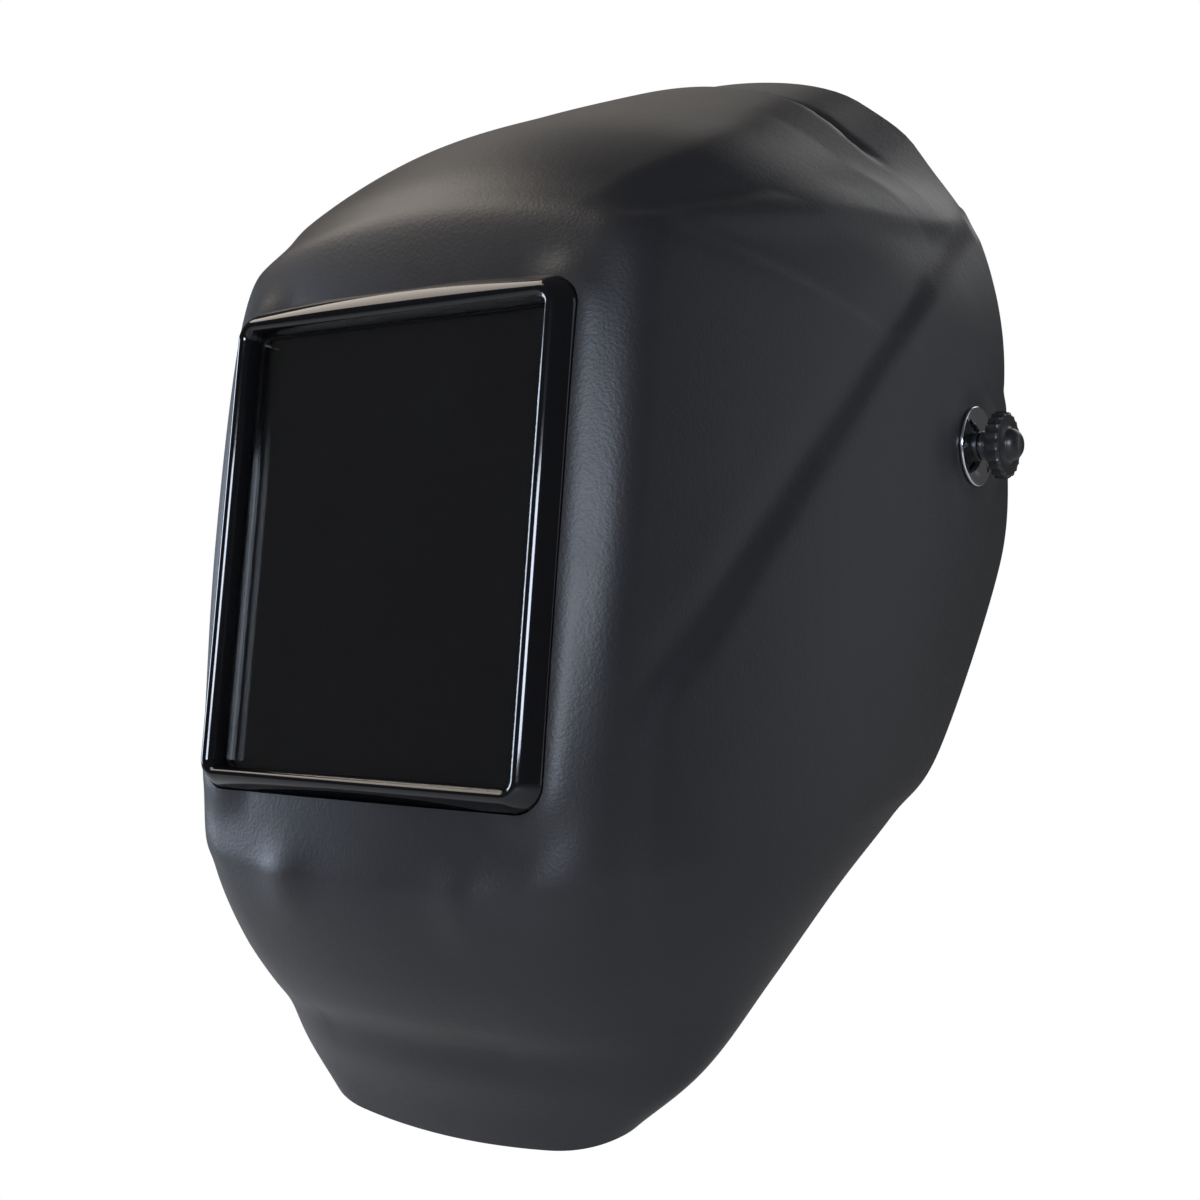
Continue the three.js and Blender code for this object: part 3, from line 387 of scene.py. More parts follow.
def moulded_grain_group() -> bpy.types.NodeTree:
    """Spark-eroded mould texture: fine pits, and slow changes of tone where the mould is worn."""
    graph, source, result = new_group(
        "moulded_grain", {"Pits per m": 900.0, "Patches per m": 14.0}, ["Height", "Patch"])
    place = graph.add("TexCoord").outputs["Object"]
    fine = graph.noise(place, source.outputs["Pits per m"], 2.0, 0.6)
    coarse = graph.noise(place, graph.maths("MULTIPLY", source.outputs["Pits per m"], 0.35), 2.0)
    both = graph.maths("ADD", graph.maths("MULTIPLY", fine, 0.65), graph.maths("MULTIPLY", coarse, 0.35))
    graph.put(graph.between(both, 0.35, 0.65, 0.0, 1.0), result.inputs["Height"])
    patch = graph.noise(place, source.outputs["Patches per m"], 4.0, 0.6)
    graph.put(graph.between(patch, 0.3, 0.7, 0.0, 1.0), result.inputs["Patch"])
    return graph.tree


def rubbed_edge_group() -> bpy.types.NodeTree:
    """A mask of outer edges, broken up by noise, where handling has polished them."""
    graph, source, result = new_group("rubbed_edge", {"Sharpness": 0.56, "Breakup per m": 60.0}, ["Mask"])
    pointed = graph.add("NewGeometry").outputs["Pointiness"]
    over = graph.maths("SUBTRACT", pointed, source.outputs["Sharpness"])
    edge = graph.maths("MULTIPLY", over, 12.0, clamp=True)
    place = graph.add("TexCoord").outputs["Object"]
    broken = graph.between(graph.noise(place, source.outputs["Breakup per m"]), 0.4, 0.62, 0.2, 1.0)
    graph.put(graph.maths("MULTIPLY", edge, broken, clamp=True), result.inputs["Mask"])
    return graph.tree


def weave_group() -> bpy.types.NodeTree:
    """A plain weave on the piece's UV map: two sets of threads, each over the other in turn; its tone is random fuzz,
    darker where the threads dip as painted shade between them.
    """
    graph, source, result = new_group("weave", {"Threads": 60.0}, ["Height", "Shade"])
    split = graph.add("SeparateXYZ")
    graph.put(graph.add("TexCoord").outputs["UV"], split.inputs[0])
    waves = []
    for axis in (0, 1):
        turn = graph.maths("MULTIPLY", graph.maths("MULTIPLY", split.outputs[axis], source.outputs["Threads"]), math.pi)
        waves.append(graph.maths("SINE", turn))
    over = graph.maths("MULTIPLY", waves[0], waves[1])
    ribs = graph.maths("MAXIMUM", graph.maths("ABSOLUTE", waves[0]), graph.maths("ABSOLUTE", waves[1]))
    height = graph.maths("ADD", graph.maths("MULTIPLY", over, 0.35), graph.maths("MULTIPLY", ribs, 0.6), clamp=True)
    graph.put(height, result.inputs["Height"])
    fuzz = graph.noise(graph.add("TexCoord").outputs["Object"], 500.0, 4.0, 0.7)
    # Random fuzz scaled by thread height: the dips between threads get painted shade.
    graph.put(graph.maths("MULTIPLY", fuzz, graph.maths("ADD", height, 0.5)), result.inputs["Shade"])
    return graph.tree


@dataclass(frozen=True)
class Finish:
    """A plain finish with a moulded or machined grain and rubbed edges.

    Attributes:
        name: The material's name, and its slot in the record.
        colour: Base colour, linear.
        roughness: Mean roughness.
        metallic: 1 for metal.
        spread: How far patches raise and lower the roughness.
        grain: Bump distance of the pits, in metres.
        pits: Pits per metre.
        mottle: How far patches lighten the colour.
        edge: Colour that rubbed edges turn to.
        coat: Clear gloss over the surface.
        specular: Specular level.
    """

    name: str
    colour: Colour
    roughness: float
    metallic: float = 0.0
    spread: float = 0.05
    grain: float = 0.00003
    pits: float = 900.0
    mottle: float = 0.15
    edge: Colour | None = None
    coat: float = 0.0
    specular: float = 0.5

    def build(self, groups: dict[str, bpy.types.NodeTree]) -> bpy.types.Material:
        """Makes the material from the shared node groups."""
        material = bpy.data.materials.new(self.name)
        material.use_nodes = True
        graph = Graph(material.node_tree)
        shader = material.node_tree.nodes["Principled BSDF"]
        grain = graph.add("Group", node_tree=groups["grain"])
        grain.inputs["Pits per m"].default_value = self.pits
        light = tuple(min(1.0, c * (1 + self.mottle) + 0.01 * self.mottle) for c in self.colour)
        dark = tuple(c * (1 - self.mottle) for c in self.colour)
        colour = graph.mix(grain.outputs["Patch"], (*dark, 1.0), (*light, 1.0))
        low, high = self.roughness - self.spread, self.roughness + self.spread
        rough = graph.between(grain.outputs["Patch"], 0.0, 1.0, low, high)
        if self.edge is not None:
            rubbed = graph.add("Group", node_tree=groups["edge"])
            colour = graph.mix(rubbed.outputs["Mask"], colour, (*self.edge, 1.0))
            rough = graph.maths("SUBTRACT", rough, graph.maths("MULTIPLY", rubbed.outputs["Mask"], 0.12), clamp=True)
        graph.put(colour, shader.inputs["Base Color"])
        graph.put(rough, shader.inputs["Roughness"])
        shader.inputs["Metallic"].default_value = self.metallic
        shader.inputs["Specular IOR Level"].default_value = self.specular
        shader.inputs["Coat Weight"].default_value = self.coat
        shader.inputs["Coat Roughness"].default_value = 0.04
        bump_node = graph.add("Bump")
        bump_node.inputs["Strength"].default_value = 0.6
        bump_node.inputs["Distance"].default_value = self.grain
        graph.put(grain.outputs["Height"], bump_node.inputs["Height"])
        graph.put(bump_node.outputs[0], shader.inputs["Normal"])
        return material


@dataclass(frozen=True)
class ClearPlate:
    """Clear polycarbonate with faint smears."""

    name: str
    tint: Colour
    roughness: float

    def build(self, groups: dict[str, bpy.types.NodeTree]) -> bpy.types.Material:
        """Makes the material: transmission with a roughness that smears vary."""
        material = bpy.data.materials.new(self.name)
        material.use_nodes = True
        graph = Graph(material.node_tree)
        shader = material.node_tree.nodes["Principled BSDF"]
        grain = graph.add("Group", node_tree=groups["grain"])
        shader.inputs["Base Color"].default_value = (*self.tint, 1.0)
        shader.inputs["Transmission Weight"].default_value = 1.0
        shader.inputs["IOR"].default_value = 1.49
        rough = graph.between(grain.outputs["Patch"], 0.0, 1.0, self.roughness, self.roughness + 0.04)
        graph.put(rough, shader.inputs["Roughness"])
        return material


@dataclass(frozen=True)
class Cloth:
    """Woven cloth over foam."""

    name: str
    colour: Colour
    threads: float

    def build(self, groups: dict[str, bpy.types.NodeTree]) -> bpy.types.Material:
        """Makes the material: weave in colour with painted shade between the threads, sheen and bump."""
        material = bpy.data.materials.new(self.name)
        material.use_nodes = True
        graph = Graph(material.node_tree)
        shader = material.node_tree.nodes["Principled BSDF"]
        weave = graph.add("Group", node_tree=groups["weave"])
        weave.inputs["Threads"].default_value = self.threads
        dark = tuple(c * 0.45 for c in self.colour)
        light = tuple(c * 1.7 for c in self.colour)
        # Colour from the weave's tone: random fuzz, with painted shade where the threads dip.
        graph.put(graph.mix(weave.outputs["Shade"], (*dark, 1.0), (*light, 1.0)), shader.inputs["Base Color"])
        shader.inputs["Roughness"].default_value = 0.92
        shader.inputs["Sheen Weight"].default_value = 0.25
        bump_node = graph.add("Bump")
        bump_node.inputs["Strength"].default_value = 0.7
        bump_node.inputs["Distance"].default_value = 0.0004
        graph.put(weave.outputs["Height"], bump_node.inputs["Height"])
        graph.put(bump_node.outputs[0], shader.inputs["Normal"])
        return material


FINISHES = (
    Finish("shell_plastic", (0.0115, 0.0115, 0.0135), 0.44, grain=0.00006, pits=1100, mottle=0.1, spread=0.03),
    Finish("gloss_frame", (0.004, 0.004, 0.005), 0.09, grain=0.000004, pits=160, mottle=0.05, spread=0.03),
    Finish("filter_glass", (0.006, 0.006, 0.008), 0.12, grain=0.000002, pits=60, mottle=0.05, spread=0.02),
    ClearPlate("clear_plate", (0.93, 0.95, 0.95), 0.02),
    Finish("gasket_rubber", (0.012, 0.012, 0.012), 0.8, grain=0.00008),
    Finish("washer_chrome", (0.82, 0.83, 0.86), 0.08, 1.0, grain=0.000004, pits=200, mottle=0.04, spread=0.03),
    Finish("knob_plastic", (0.011, 0.011, 0.012), 0.32, grain=0.00003, edge=(0.05, 0.05, 0.052)),
    Finish("plain_steel", (0.5, 0.5, 0.52), 0.32, 1.0, grain=0.00001, pits=500, spread=0.08),
    Finish("nylon", (0.66, 0.64, 0.58), 0.45, grain=0.00003, mottle=0.06),
    Cloth("pad_cloth", (0.028, 0.03, 0.036), 70.0),
    Finish("band_plastic", (0.017, 0.017, 0.019), 0.42, grain=0.00004, edge=(0.045, 0.045, 0.05)),
)


class Wardrobe:
    """The built materials, by slot."""

    def __init__(self) -> None:
        """Builds the shared groups and every material."""
        groups = {"grain": moulded_grain_group(), "edge": rubbed_edge_group(), "weave": weave_group()}
        self.materials = {finish.name: finish.build(groups) for finish in FINISHES}

    def dress(self, obj: bpy.types.Object, slot: str, body: Body | None = None, *nodes: str) -> bpy.types.Object:
        """Gives a piece its material and, if it is new, its body and the nodes it stands for.

        Args:
            obj: The piece.
            slot: The material slot.
            body: The body it rides on, or None for a CAD node.
            nodes: CAD nodes that it replaces.

        Returns:
            The same piece.
        """
        obj.data.materials.clear()
        obj.data.materials.append(self.materials[slot])
        if body is not None:
            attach(obj, body.value)
            if nodes:
                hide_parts(*nodes)
            log.info("%s: %d faces on %s", obj.name, len(obj.data.polygons), body.value)
        return obj


# ---------------------------------------------------------------- shell

@dataclass(frozen=True)
class Section:
    """One section of the shell, from the middle of its front to the rear free edge.

    Attributes:
        front: (y, z) of the middle of the front.
        edge: (y, z) of the free edge.
        half: Half width of the front face.
        bow: How far the face's sides fall back.
        corner: Size of the corner into the side wall.
        edge_half: Half width at the free edge.
    """

    front: tuple[float, float]
    edge: tuple[float, float]
    half: float
    bow: float
    corner: float
    edge_half: float

    def row(self) -> list[float]:
        """The section as one row of numbers."""
        return [*self.front, *self.edge, self.half, self.bow, self.corner, self.edge_half]


@dataclass
class Shell:
    """The moulded shell, lofted through sections and shaped by relief."""

    wall: float = 2.8
    face_share: float = 0.36
    corner_share: float = 0.52
    fullness: float = 2.0
    rows: int = 230
    half_columns: int = 110
    frame_half: tuple[float, float] = (59.75, 68.5)
    frame_corner: float = 8.0
    seat: float = 112.7
    seat_radius: float = 13.0
    bore: float = 3.35
    tab_reach: float = 20.0
    tab_width: float = 6.0
    lug_angle: float = math.radians(200.0)
    shoulder_line: tuple[tuple[float, float], ...] = (
        (0.6, 0.35), (0.665, 0.41), (0.7, 0.436), (0.74, 0.447), (0.8, 0.43), (0.87, 0.415), (0.92, 0.427), (1.0, 0.455),
    )
    crease_line: tuple[tuple[float, float], ...] = (
        (-132, -78), (-111, -56.5), (-92.5, -32.5), (-73, -9), (-60.5, 4.5), (-45.5, 21.5), (-15.5, 47), (20, 70),
    )
    sections: list[Section] = field(default_factory=lambda: [
        Section((-111, -198), (-95, -187), 41.8, 4, 8, 56.5),
        Section((-118, -184.9), (-88, -172), 49.8, 7, 15, 72.5),
        Section((-130, -168), (-75, -150), 54.8, 9, 18, 84.5),
        Section((-145, -147), (-56, -126), 58.8, 9.5, 18, 95),
        Section((-152.5, -125), (-34, -108), 62.8, 9, 14, 101.5),
        Section((-151.1, -105), (-10, -90), 66.8, 7.5, 10, 106),
        Section((-142.5, -31), (22, -34), 72.3, 8, 9, 112),
        Section((-133.4, 44), (24, 2), 70.8, 10, 10, 112.5),
        Section((-122.9, 66), (23, 9), 69.8, 16.5, 13, 112.5),
        Section((-94, 87.5), (22, 14), 76.8, 22, 18, 112.5),
        Section((-55, 104), (20.3, 17.2), 80.8, 24, 24, 112.5),
        Section((-14, 119.5), (19.8, 19), 78.8, 22, 30, 112.5),
        Section((27, 134), (20, 20.4), 73.8, 18, 37, 112.5),
    ])

    def section_values(self, s: Array) -> list[Array]:
        """Section numbers at s, by Catmull-Rom curves through the sections' rows.

        On each span from b to c, with neighbours a and d and share f, the value is half of
        2b + (c-a)f + (2a-5b+4c-d)f^2 + (3b-a-3c+d)f^3.
        """
        table = np.array([section.row() for section in self.sections])
        table = np.vstack([2 * table[0] - table[1], table, 2 * table[-1] - table[-2]])
        place = np.clip(s, 0, 1) * (len(self.sections) - 1)
        i = np.minimum(place.astype(int), len(self.sections) - 2)
        f = (place - i)[..., None]
        a, b, c, d = (table[i + k] for k in range(4))
        value = (2 * b + (c - a) * f + (2 * a - 5 * b + 4 * c - d) * f**2 + (3 * b - a - 3 * c + d) * f**3) / 2
        return list(np.moveaxis(value, -1, 0))

    def plain_surface(self, s: Array, u: Array) -> Array:
        """The lofted surface without relief.

        A section is a shallow parabola over the face, a quadratic curve round the corner, and a
        side wall whose half width reaches the edge's as 1 minus a power of the depth left.
        """
        y0, z0, y1, z1, half, bow, corner, edge = self.section_values(s)
        length = np.hypot(y1 - y0, z1 - z0)
        corner = np.minimum(corner, 0.6 * (length - bow))
        face_x = half - corner
        face_depth = bow * (face_x / half) ** 2
        face_slope = 2 * bow * face_x / half**2
        wall_depth = bow + corner
        rest = 1 - corner / (length - bow)
        wall_x = half + (edge - half) * (1 - rest**self.fullness)
        wall_slope = (edge - half) * self.fullness * rest ** (self.fullness - 1) / (length - bow)
        knee = (wall_x + wall_slope * (face_depth - face_slope * face_x - wall_depth)) / (1 - face_slope * wall_slope)
        knee_depth = face_depth + face_slope * (knee - face_x)
        reach = np.abs(u)
        on_face = face_x * reach / self.face_share
        t = np.clip((reach - self.face_share) / (self.corner_share - self.face_share), 0, 1)
        round_x = (1 - t) ** 2 * face_x + 2 * t * (1 - t) * knee + t * t * wall_x
        round_depth = (1 - t) ** 2 * face_depth + 2 * t * (1 - t) * knee_depth + t * t * wall_depth
        back = np.clip((reach - self.corner_share) / (1 - self.corner_share), 0, 1)
        side_depth = wall_depth + (length - wall_depth) * back
        left = np.clip(1 - (side_depth - bow) / (length - bow), 0, 1)
        side_x = half + (edge - half) * (1 - left**self.fullness)
        face, round_ = reach <= self.face_share, reach <= self.corner_share
        x = np.where(face, on_face, np.where(round_, round_x, side_x))
        depth = np.where(face, bow * (on_face / half) ** 2, np.where(round_, round_depth, side_depth))
        return np.stack([np.sign(u) * x, y0 + (y1 - y0) * depth / length, z0 + (z1 - z0) * depth / length], -1)

    @staticmethod
    def normals(points: Array) -> Array:
        """Unit normals of a grid of points.

        The cross product of its two directions, straight out to the side on the flat above the pivots.
        """
        across = np.cross(np.gradient(points, axis=1), np.gradient(points, axis=0))
        across /= np.maximum(np.linalg.norm(across, axis=-1, keepdims=True), 1e-9)
        x = points[..., :1]
        flat = smoothstep(108.5, 110.5, np.abs(x)) * (points[..., 2:] > 0)
        across = across * (1 - flat) + flat * np.sign(x) * np.array([1.0, 0.0, 0.0])
        return across / np.linalg.norm(across, axis=-1, keepdims=True)

    def relief(self, s: Array, u: Array, points: Array) -> Array:
        """Millimetres that moulded detail stands off the plain surface.

        The sum of a raised crown panel with a valley beside it, a shoulder ridge, a step at the
        crown's rear rim, a diagonal crease on each side, a lip round the window, two soft bumps
        below it, and a crease above the chin's bib.
        """
        reach = np.abs(u)
        x, y, z = np.moveaxis(points, -1, 0)
        on_top = smoothstep(0.6, 0.7, s)
        shoulder = np.interp(s, *zip(*self.shoulder_line))
        panel = 1.6 * on_top * smoothstep(0.0, -0.06, reach - shoulder)
        valley = -2.2 * on_top * bump(reach - shoulder, 0.035, 0.035)
        ridge = 1.6 * on_top * bump(reach - shoulder, 0.1, 0.045)
        step_at = 0.94 - 0.1 * np.clip(reach / 0.43, 0, 1) ** 4 * 0.2
        rim = -2.2 * smoothstep(-0.006, 0.002, s - step_at) * smoothstep(0.47, 0.42, reach)
        rim = rim - 1.3 * bump(s - step_at, 0.006, 0.006) * smoothstep(0.47, 0.42, reach)
        crease_z = np.interp(y, *zip(*self.crease_line))
        on_side = smoothstep(0.5, 0.56, reach) * smoothstep(-136, -118, y)
        above = z - crease_z
        crease = on_side * (1.9 * smoothstep(5, -5, above) * smoothstep(-130, -30, above) - 0.7 * bump(above, 5, 8))
        across, up, _ = np.moveaxis(to_window(points), -1, 0)
        qx = np.abs(across) - self.frame_half[0] + self.frame_corner
        qy = np.abs(up) - self.frame_half[1] + self.frame_corner
        away = np.hypot(np.maximum(qx, 0), np.maximum(qy, 0)) - self.frame_corner
        front = (y < -100) & (reach < 0.6)
        lip = 2.2 * bump(np.maximum(away, 0), 0, 6) * smoothstep(40, 56, np.abs(across)) * front
        bumps = 1.5 * bump(x, -24, 9) * bump(z, -122, 9) + 2.0 * bump(x, 38, 9) * bump(z, -124, 10)
        bib = -2.2 * bump(z, -168, 6) * (1 - smoothstep(0.3, 0.55, reach)) * (s < 0.3)
        return panel + valley + ridge + rim + crease + lip + bumps + bib

    def outer_grid(self) -> tuple[Array, Array]:
        """The finished outer surface and its normals, on a grid of rows from chin to crown."""
        half = np.linspace(0, 1, self.half_columns)
        u_line = np.concatenate([-half[:0:-1], half])
        s, u = np.meshgrid(np.linspace(0, 1, self.rows), u_line, indexing="ij")
        points = self.plain_surface(s, u)
        points = points + self.relief(s, u, points)[..., None] * self.normals(points)
        radius = np.hypot(points[..., 1], points[..., 2])
        seated = (np.abs(points[..., 0]) > 95) * (1 - smoothstep(self.seat_radius, self.seat_radius + 6, radius))
        x = points[..., 0]
        points[..., 0] = x + seated * (np.sign(x) * self.seat - x)
        return points, self.normals(points)

    def make(self, wardrobe: Wardrobe) -> None:
        """Builds the shell with its window opening and the collar behind it."""
        outer, normal = self.outer_grid()
        rows, columns = outer.shape[:2]
        size = rows * columns
        ease = np.ones((rows, columns, 1))
        inner = outer - self.wall * ease * normal
        faces = [grid_quads(rows, columns, False, False)]
        faces.append(grid_quads(rows, columns, False, False, size)[:, ::-1])
        index = np.arange(size).reshape(rows, columns)
        rim = np.concatenate([index[0, :-1], index[:-1, -1], index[-1, :0:-1], index[:0:-1, 0]])
        following = np.roll(rim, -1)
        faces.append(np.stack([following, rim, rim + size, following + size], -1))
        points = np.concatenate([outer.reshape(-1, 3), inner.reshape(-1, 3)])
        shell = make_mesh("shell_moulding", points, np.concatenate(faces).tolist(), 50)
        half_x, half_y = (value + 0.25 for value in self.frame_half)
        outline = rounded_outline([half_x] * 2, [half_y] * 2, [self.frame_corner] * 2, 10)
        depth = np.broadcast_to(np.array([-24.0, 24.0])[:, None, None], (2, outline.shape[1], 1))
        cutter = tube("window_cutter", from_window(np.concatenate([outline, depth], -1)))
        bore = tube("bore_cutter", turned_rings(np.array([[self.bore, -130.0], [self.bore, 130.0]]), 48))
        cut_out(shell, [cutter, bore], 50)
        wardrobe.dress(shell, "shell_plastic", Body.HELMET, "shell")
        self.make_collar(wardrobe)
        for side in Side:
            self.make_boss(side, wardrobe)

    def make_boss(self, side: Side, wardrobe: Wardrobe) -> None:
        """Builds the boss round a pivot's bore and the lug that meets the stop plate's tab."""
        profile = np.array([[self.bore, 107.7], [13.6, 107.7], [14.0, 108.1], [16.0, 109.8], [16.0, 110.6], [self.bore, 110.6]])
        boss = torus("shell_boss_" + side.word, turned_rings(profile, 72) * np.array([side.value, 1, 1]))
        wardrobe.dress(boss, "shell_plastic", Body.HELMET)
        middle = (14.0 + self.tab_reach) / 2 + 0.5
        outline = rounded_outline([3.0] * 2, [self.tab_width / 2] * 2, [0.5] * 2, 4)
        y, z = outline[..., 0] + middle + 0.5, outline[..., 1]
        turn = math.pi - self.lug_angle
        depth = np.broadcast_to(np.array([100.6, 110.4])[:, None], y.shape)
        turned = [y * math.cos(turn) - z * math.sin(turn), y * math.sin(turn) + z * math.cos(turn)]
        lug = tube("shell_lug_" + side.word, np.stack([side.value * depth, *turned], -1))
        wardrobe.dress(lug, "shell_plastic", Body.HELMET)

    def make_collar(self, wardrobe: Wardrobe) -> None:
        """Builds the collar behind the window: four outlines joined in a ring, its front following the bow."""
        grow = np.array([0.3, 0.3, 5.3, 5.3])
        outline = rounded_outline(self.frame_half[0] + grow, self.frame_half[1] + grow, self.frame_corner + grow, 10)
        front = -0.9 - 8 * (outline[..., 0] / 71) ** 2
        rear = np.full_like(front, -11.7)
        z = np.where(np.array([1, 0, 0, 1])[:, None] == 1, front, rear)
        collar = torus("shell_window_collar", from_window(np.concatenate([outline, z[..., None]], -1)))
        wardrobe.dress(collar, "shell_plastic", Body.HELMET)


# ---------------------------------------------------------------- window

@dataclass
class Window:
    """The glossy frame, with the pocket behind its opening that the plates sit in."""

    half: tuple[float, float] = (59.75, 68.5)
    corner: float = 8.0
    opening: tuple[float, float] = (52.5, 62.0)
    opening_corner: float = 2.0
    pocket: tuple[float, float] = (57.55, 67.1)
    bead_height: float = 3.4
    arch: float = 3.2
    rear: float = -15.0
    flange_front: float = -12.0

    def frame_rings(self) -> Array:
        """Outlines of the frame in order round its section.

        Between the opening's edge and the outside, outline k of the bead has half sizes that
        share out that width, and stands out by the bead height times the sine of a half turn.
        """
        share = np.linspace(0.0, 1.0, 21)
        bead = self.bead_height * np.sin(math.pi * share ** 0.8) ** 0.9
        outer_drop = -2.6 * share ** 2
        inner_step = -0.8 * (1 - smoothstep(0.0, 0.12, share))
        table = [[self.pocket[0], self.pocket[1], 1.0, self.rear], [self.pocket[0], self.pocket[1], 1.0, -2.5]]
        table.append([self.opening[0], self.opening[1], self.opening_corner, -2.5])
        for k, crest, drop, step in zip(share, bead, outer_drop, inner_step):
            sizes = [a + (b - a) * k for a, b in zip((*self.opening, self.opening_corner), (*self.half, self.corner))]
            table.append([*sizes, crest + drop + step])
        table.append([*self.half, self.corner, self.flange_front])
        table.append([self.half[0] + 5, self.half[1] + 5, self.corner + 5, self.flange_front])
        table.append([self.half[0] + 5, self.half[1] + 5, self.corner + 5, self.rear])
        x, y, radius, z = np.array(table).T
        outline = rounded_outline(x, y, radius, 12)
        outline = self.spread_sides(outline)
        arch_share = np.zeros(len(table))
        arch_share[3:3 + len(share)] = smoothstep(0.15, 1.0, share)
        rise = self.arch * arch_share[:, None] * np.clip(1 - (outline[..., 0] / self.half[0]) ** 2, 0, 1)
        outline[..., 1] += rise * (outline[..., 1] > 0)
        return np.concatenate([outline, np.broadcast_to(z[:, None, None], (*outline.shape[:2], 1))], -1)

    @staticmethod
    def spread_sides(outline: Array, extra: int = 14) -> Array:
        """Adds evenly spaced points along each straight side between the corners."""
        size = outline.shape[1] // 4
        parts = []
        for quarter in range(4):
            corner = outline[:, quarter * size:(quarter + 1) * size]
            after = outline[:, [((quarter + 1) * size) % outline.shape[1]]]
            share = np.linspace(0, 1, extra + 2)[1:-1][None, :, None]
            parts += [corner, corner[:, -1:] * (1 - share) + after * share]
        return np.concatenate(parts, 1)

    def make(self, wardrobe: Wardrobe) -> None:
        """Builds the frame."""
        frame_piece = torus("window_bezel", from_window(self.frame_rings()), 40)
        wardrobe.dress(frame_piece, "gloss_frame", Body.HELMET, "window_frame")


# ---------------------------------------------------------------- pivots

@dataclass
class Pivots:
    """The chrome washer and the tension knob on each side."""

    washer_inner: float = 113.0
    washer_radius: float = 12.0
    bore: float = 3.35
    neck_inner: float = 115.4
    neck_length: float = 3.6
    flange_thickness: float = 4.6
    knob_radius: float = 10.0
    flutes: int = 22

    def washer(self, side: Side) -> bpy.types.Object:
        """A cupped washer with four radial slots: a turned section, then slots cut through."""
        x = self.washer_inner
        profile = arc_profile([
            (self.bore, x + 1.0, 0), (8.0, x + 0.7, 1.0), (self.washer_radius - 1.2, x, 0.5),
            (self.washer_radius, x, 0.25), (self.washer_radius, x + 0.9, 0.35), (9.6, x + 1.25, 0.8),
            (7.4, x + 1.7, 0.8), (self.bore + 1.2, x + 2.1, 0.3), (self.bore, x + 2.1, 0.3), (self.bore, x + 1.0, 0),
        ], 5)
        piece = torus("slotted_washer_" + side.word + "_turned", self.mirrored(turned_rings(profile, 96), side), 35)
        cutters = []
        for turn in range(4):
            outline = rounded_outline([2.1, 2.1], [0.75, 0.75], [0.74, 0.74], 6)
            angle = math.pi / 4 + turn * math.pi / 2
            along = outline[..., 0] + 8.3
            y = along * math.cos(angle) - outline[..., 1] * math.sin(angle)
            z = along * math.sin(angle) + outline[..., 1] * math.cos(angle)
            depth = np.broadcast_to(np.array([x - 2, x + 5])[:, None], y.shape)
            cutters.append(tube("slot_cutter", self.mirrored(np.stack([depth, y, z], -1), side)))
        cut_out(piece, cutters)
        return piece

    @staticmethod
    def mirrored(points: Array, side: Side) -> Array:
        """Points with X turned to the given side."""
        return points * np.array([side.value, 1, 1])

    def knob(self, side: Side) -> bpy.types.Object:
        """A turned knob: neck, knurled flange and glossy dome, its flange's radius rippled by flutes."""
        x0 = self.neck_inner
        x1 = x0 + self.neck_length
        x2 = x1 + self.flange_thickness
        radius = self.knob_radius
        corners = [
            (0.0, x2 + 3.9, 0), (2.6, x2 + 3.7, 0.8), (4.6, x2 + 2.2, 1.2), (4.95, x2 + 0.4, 0.3), (5.6, x2, 0.3),
            (7.4, x2 - 0.25, 0.6), (radius - 0.5, x2, 0.4), (radius, x2 - 0.8, 0.4), (radius, x1 + 0.8, 0.4),
            (radius - 0.9, x1, 0.4), (5.2, x1 + 0.2, 0.4), (4.5, x1 - 0.8, 0.4), (4.5, x0 + 0.3, 0.2),
            (4.2, x0, 0.1), (self.bore, x0, 0), (self.bore, x2 + 0.7, 0), (0.0, x2 + 0.7, 0),
        ]
        profile = arc_profile(corners, 4)
        angle = np.linspace(0, 2 * math.pi, 176, endpoint=False)
        wave = -0.55 * np.abs(np.sin(angle * self.flutes / 2)) ** 0.7
        share = smoothstep(radius - 1.6, radius - 0.4, profile[:, 0])
        rings = self.mirrored(turned_rings(profile, len(angle), share[:, None] * wave[None, :]), side)
        return tube("tension_knob_" + side.word + "_turned", rings, 40)

    def make(self, wardrobe: Wardrobe) -> None:
        """Builds both sides."""
        for side in Side:
            wardrobe.dress(self.washer(side), "washer_chrome", Body.HELMET, "slotted_washer_" + side.word)
            body = Body.KNOB_LEFT if side is Side.LEFT else Body.KNOB_RIGHT
            wardrobe.dress(self.knob(side), "knob_plastic", body, "tension_knob_" + side.word)


# ---------------------------------------------------------------- headgear

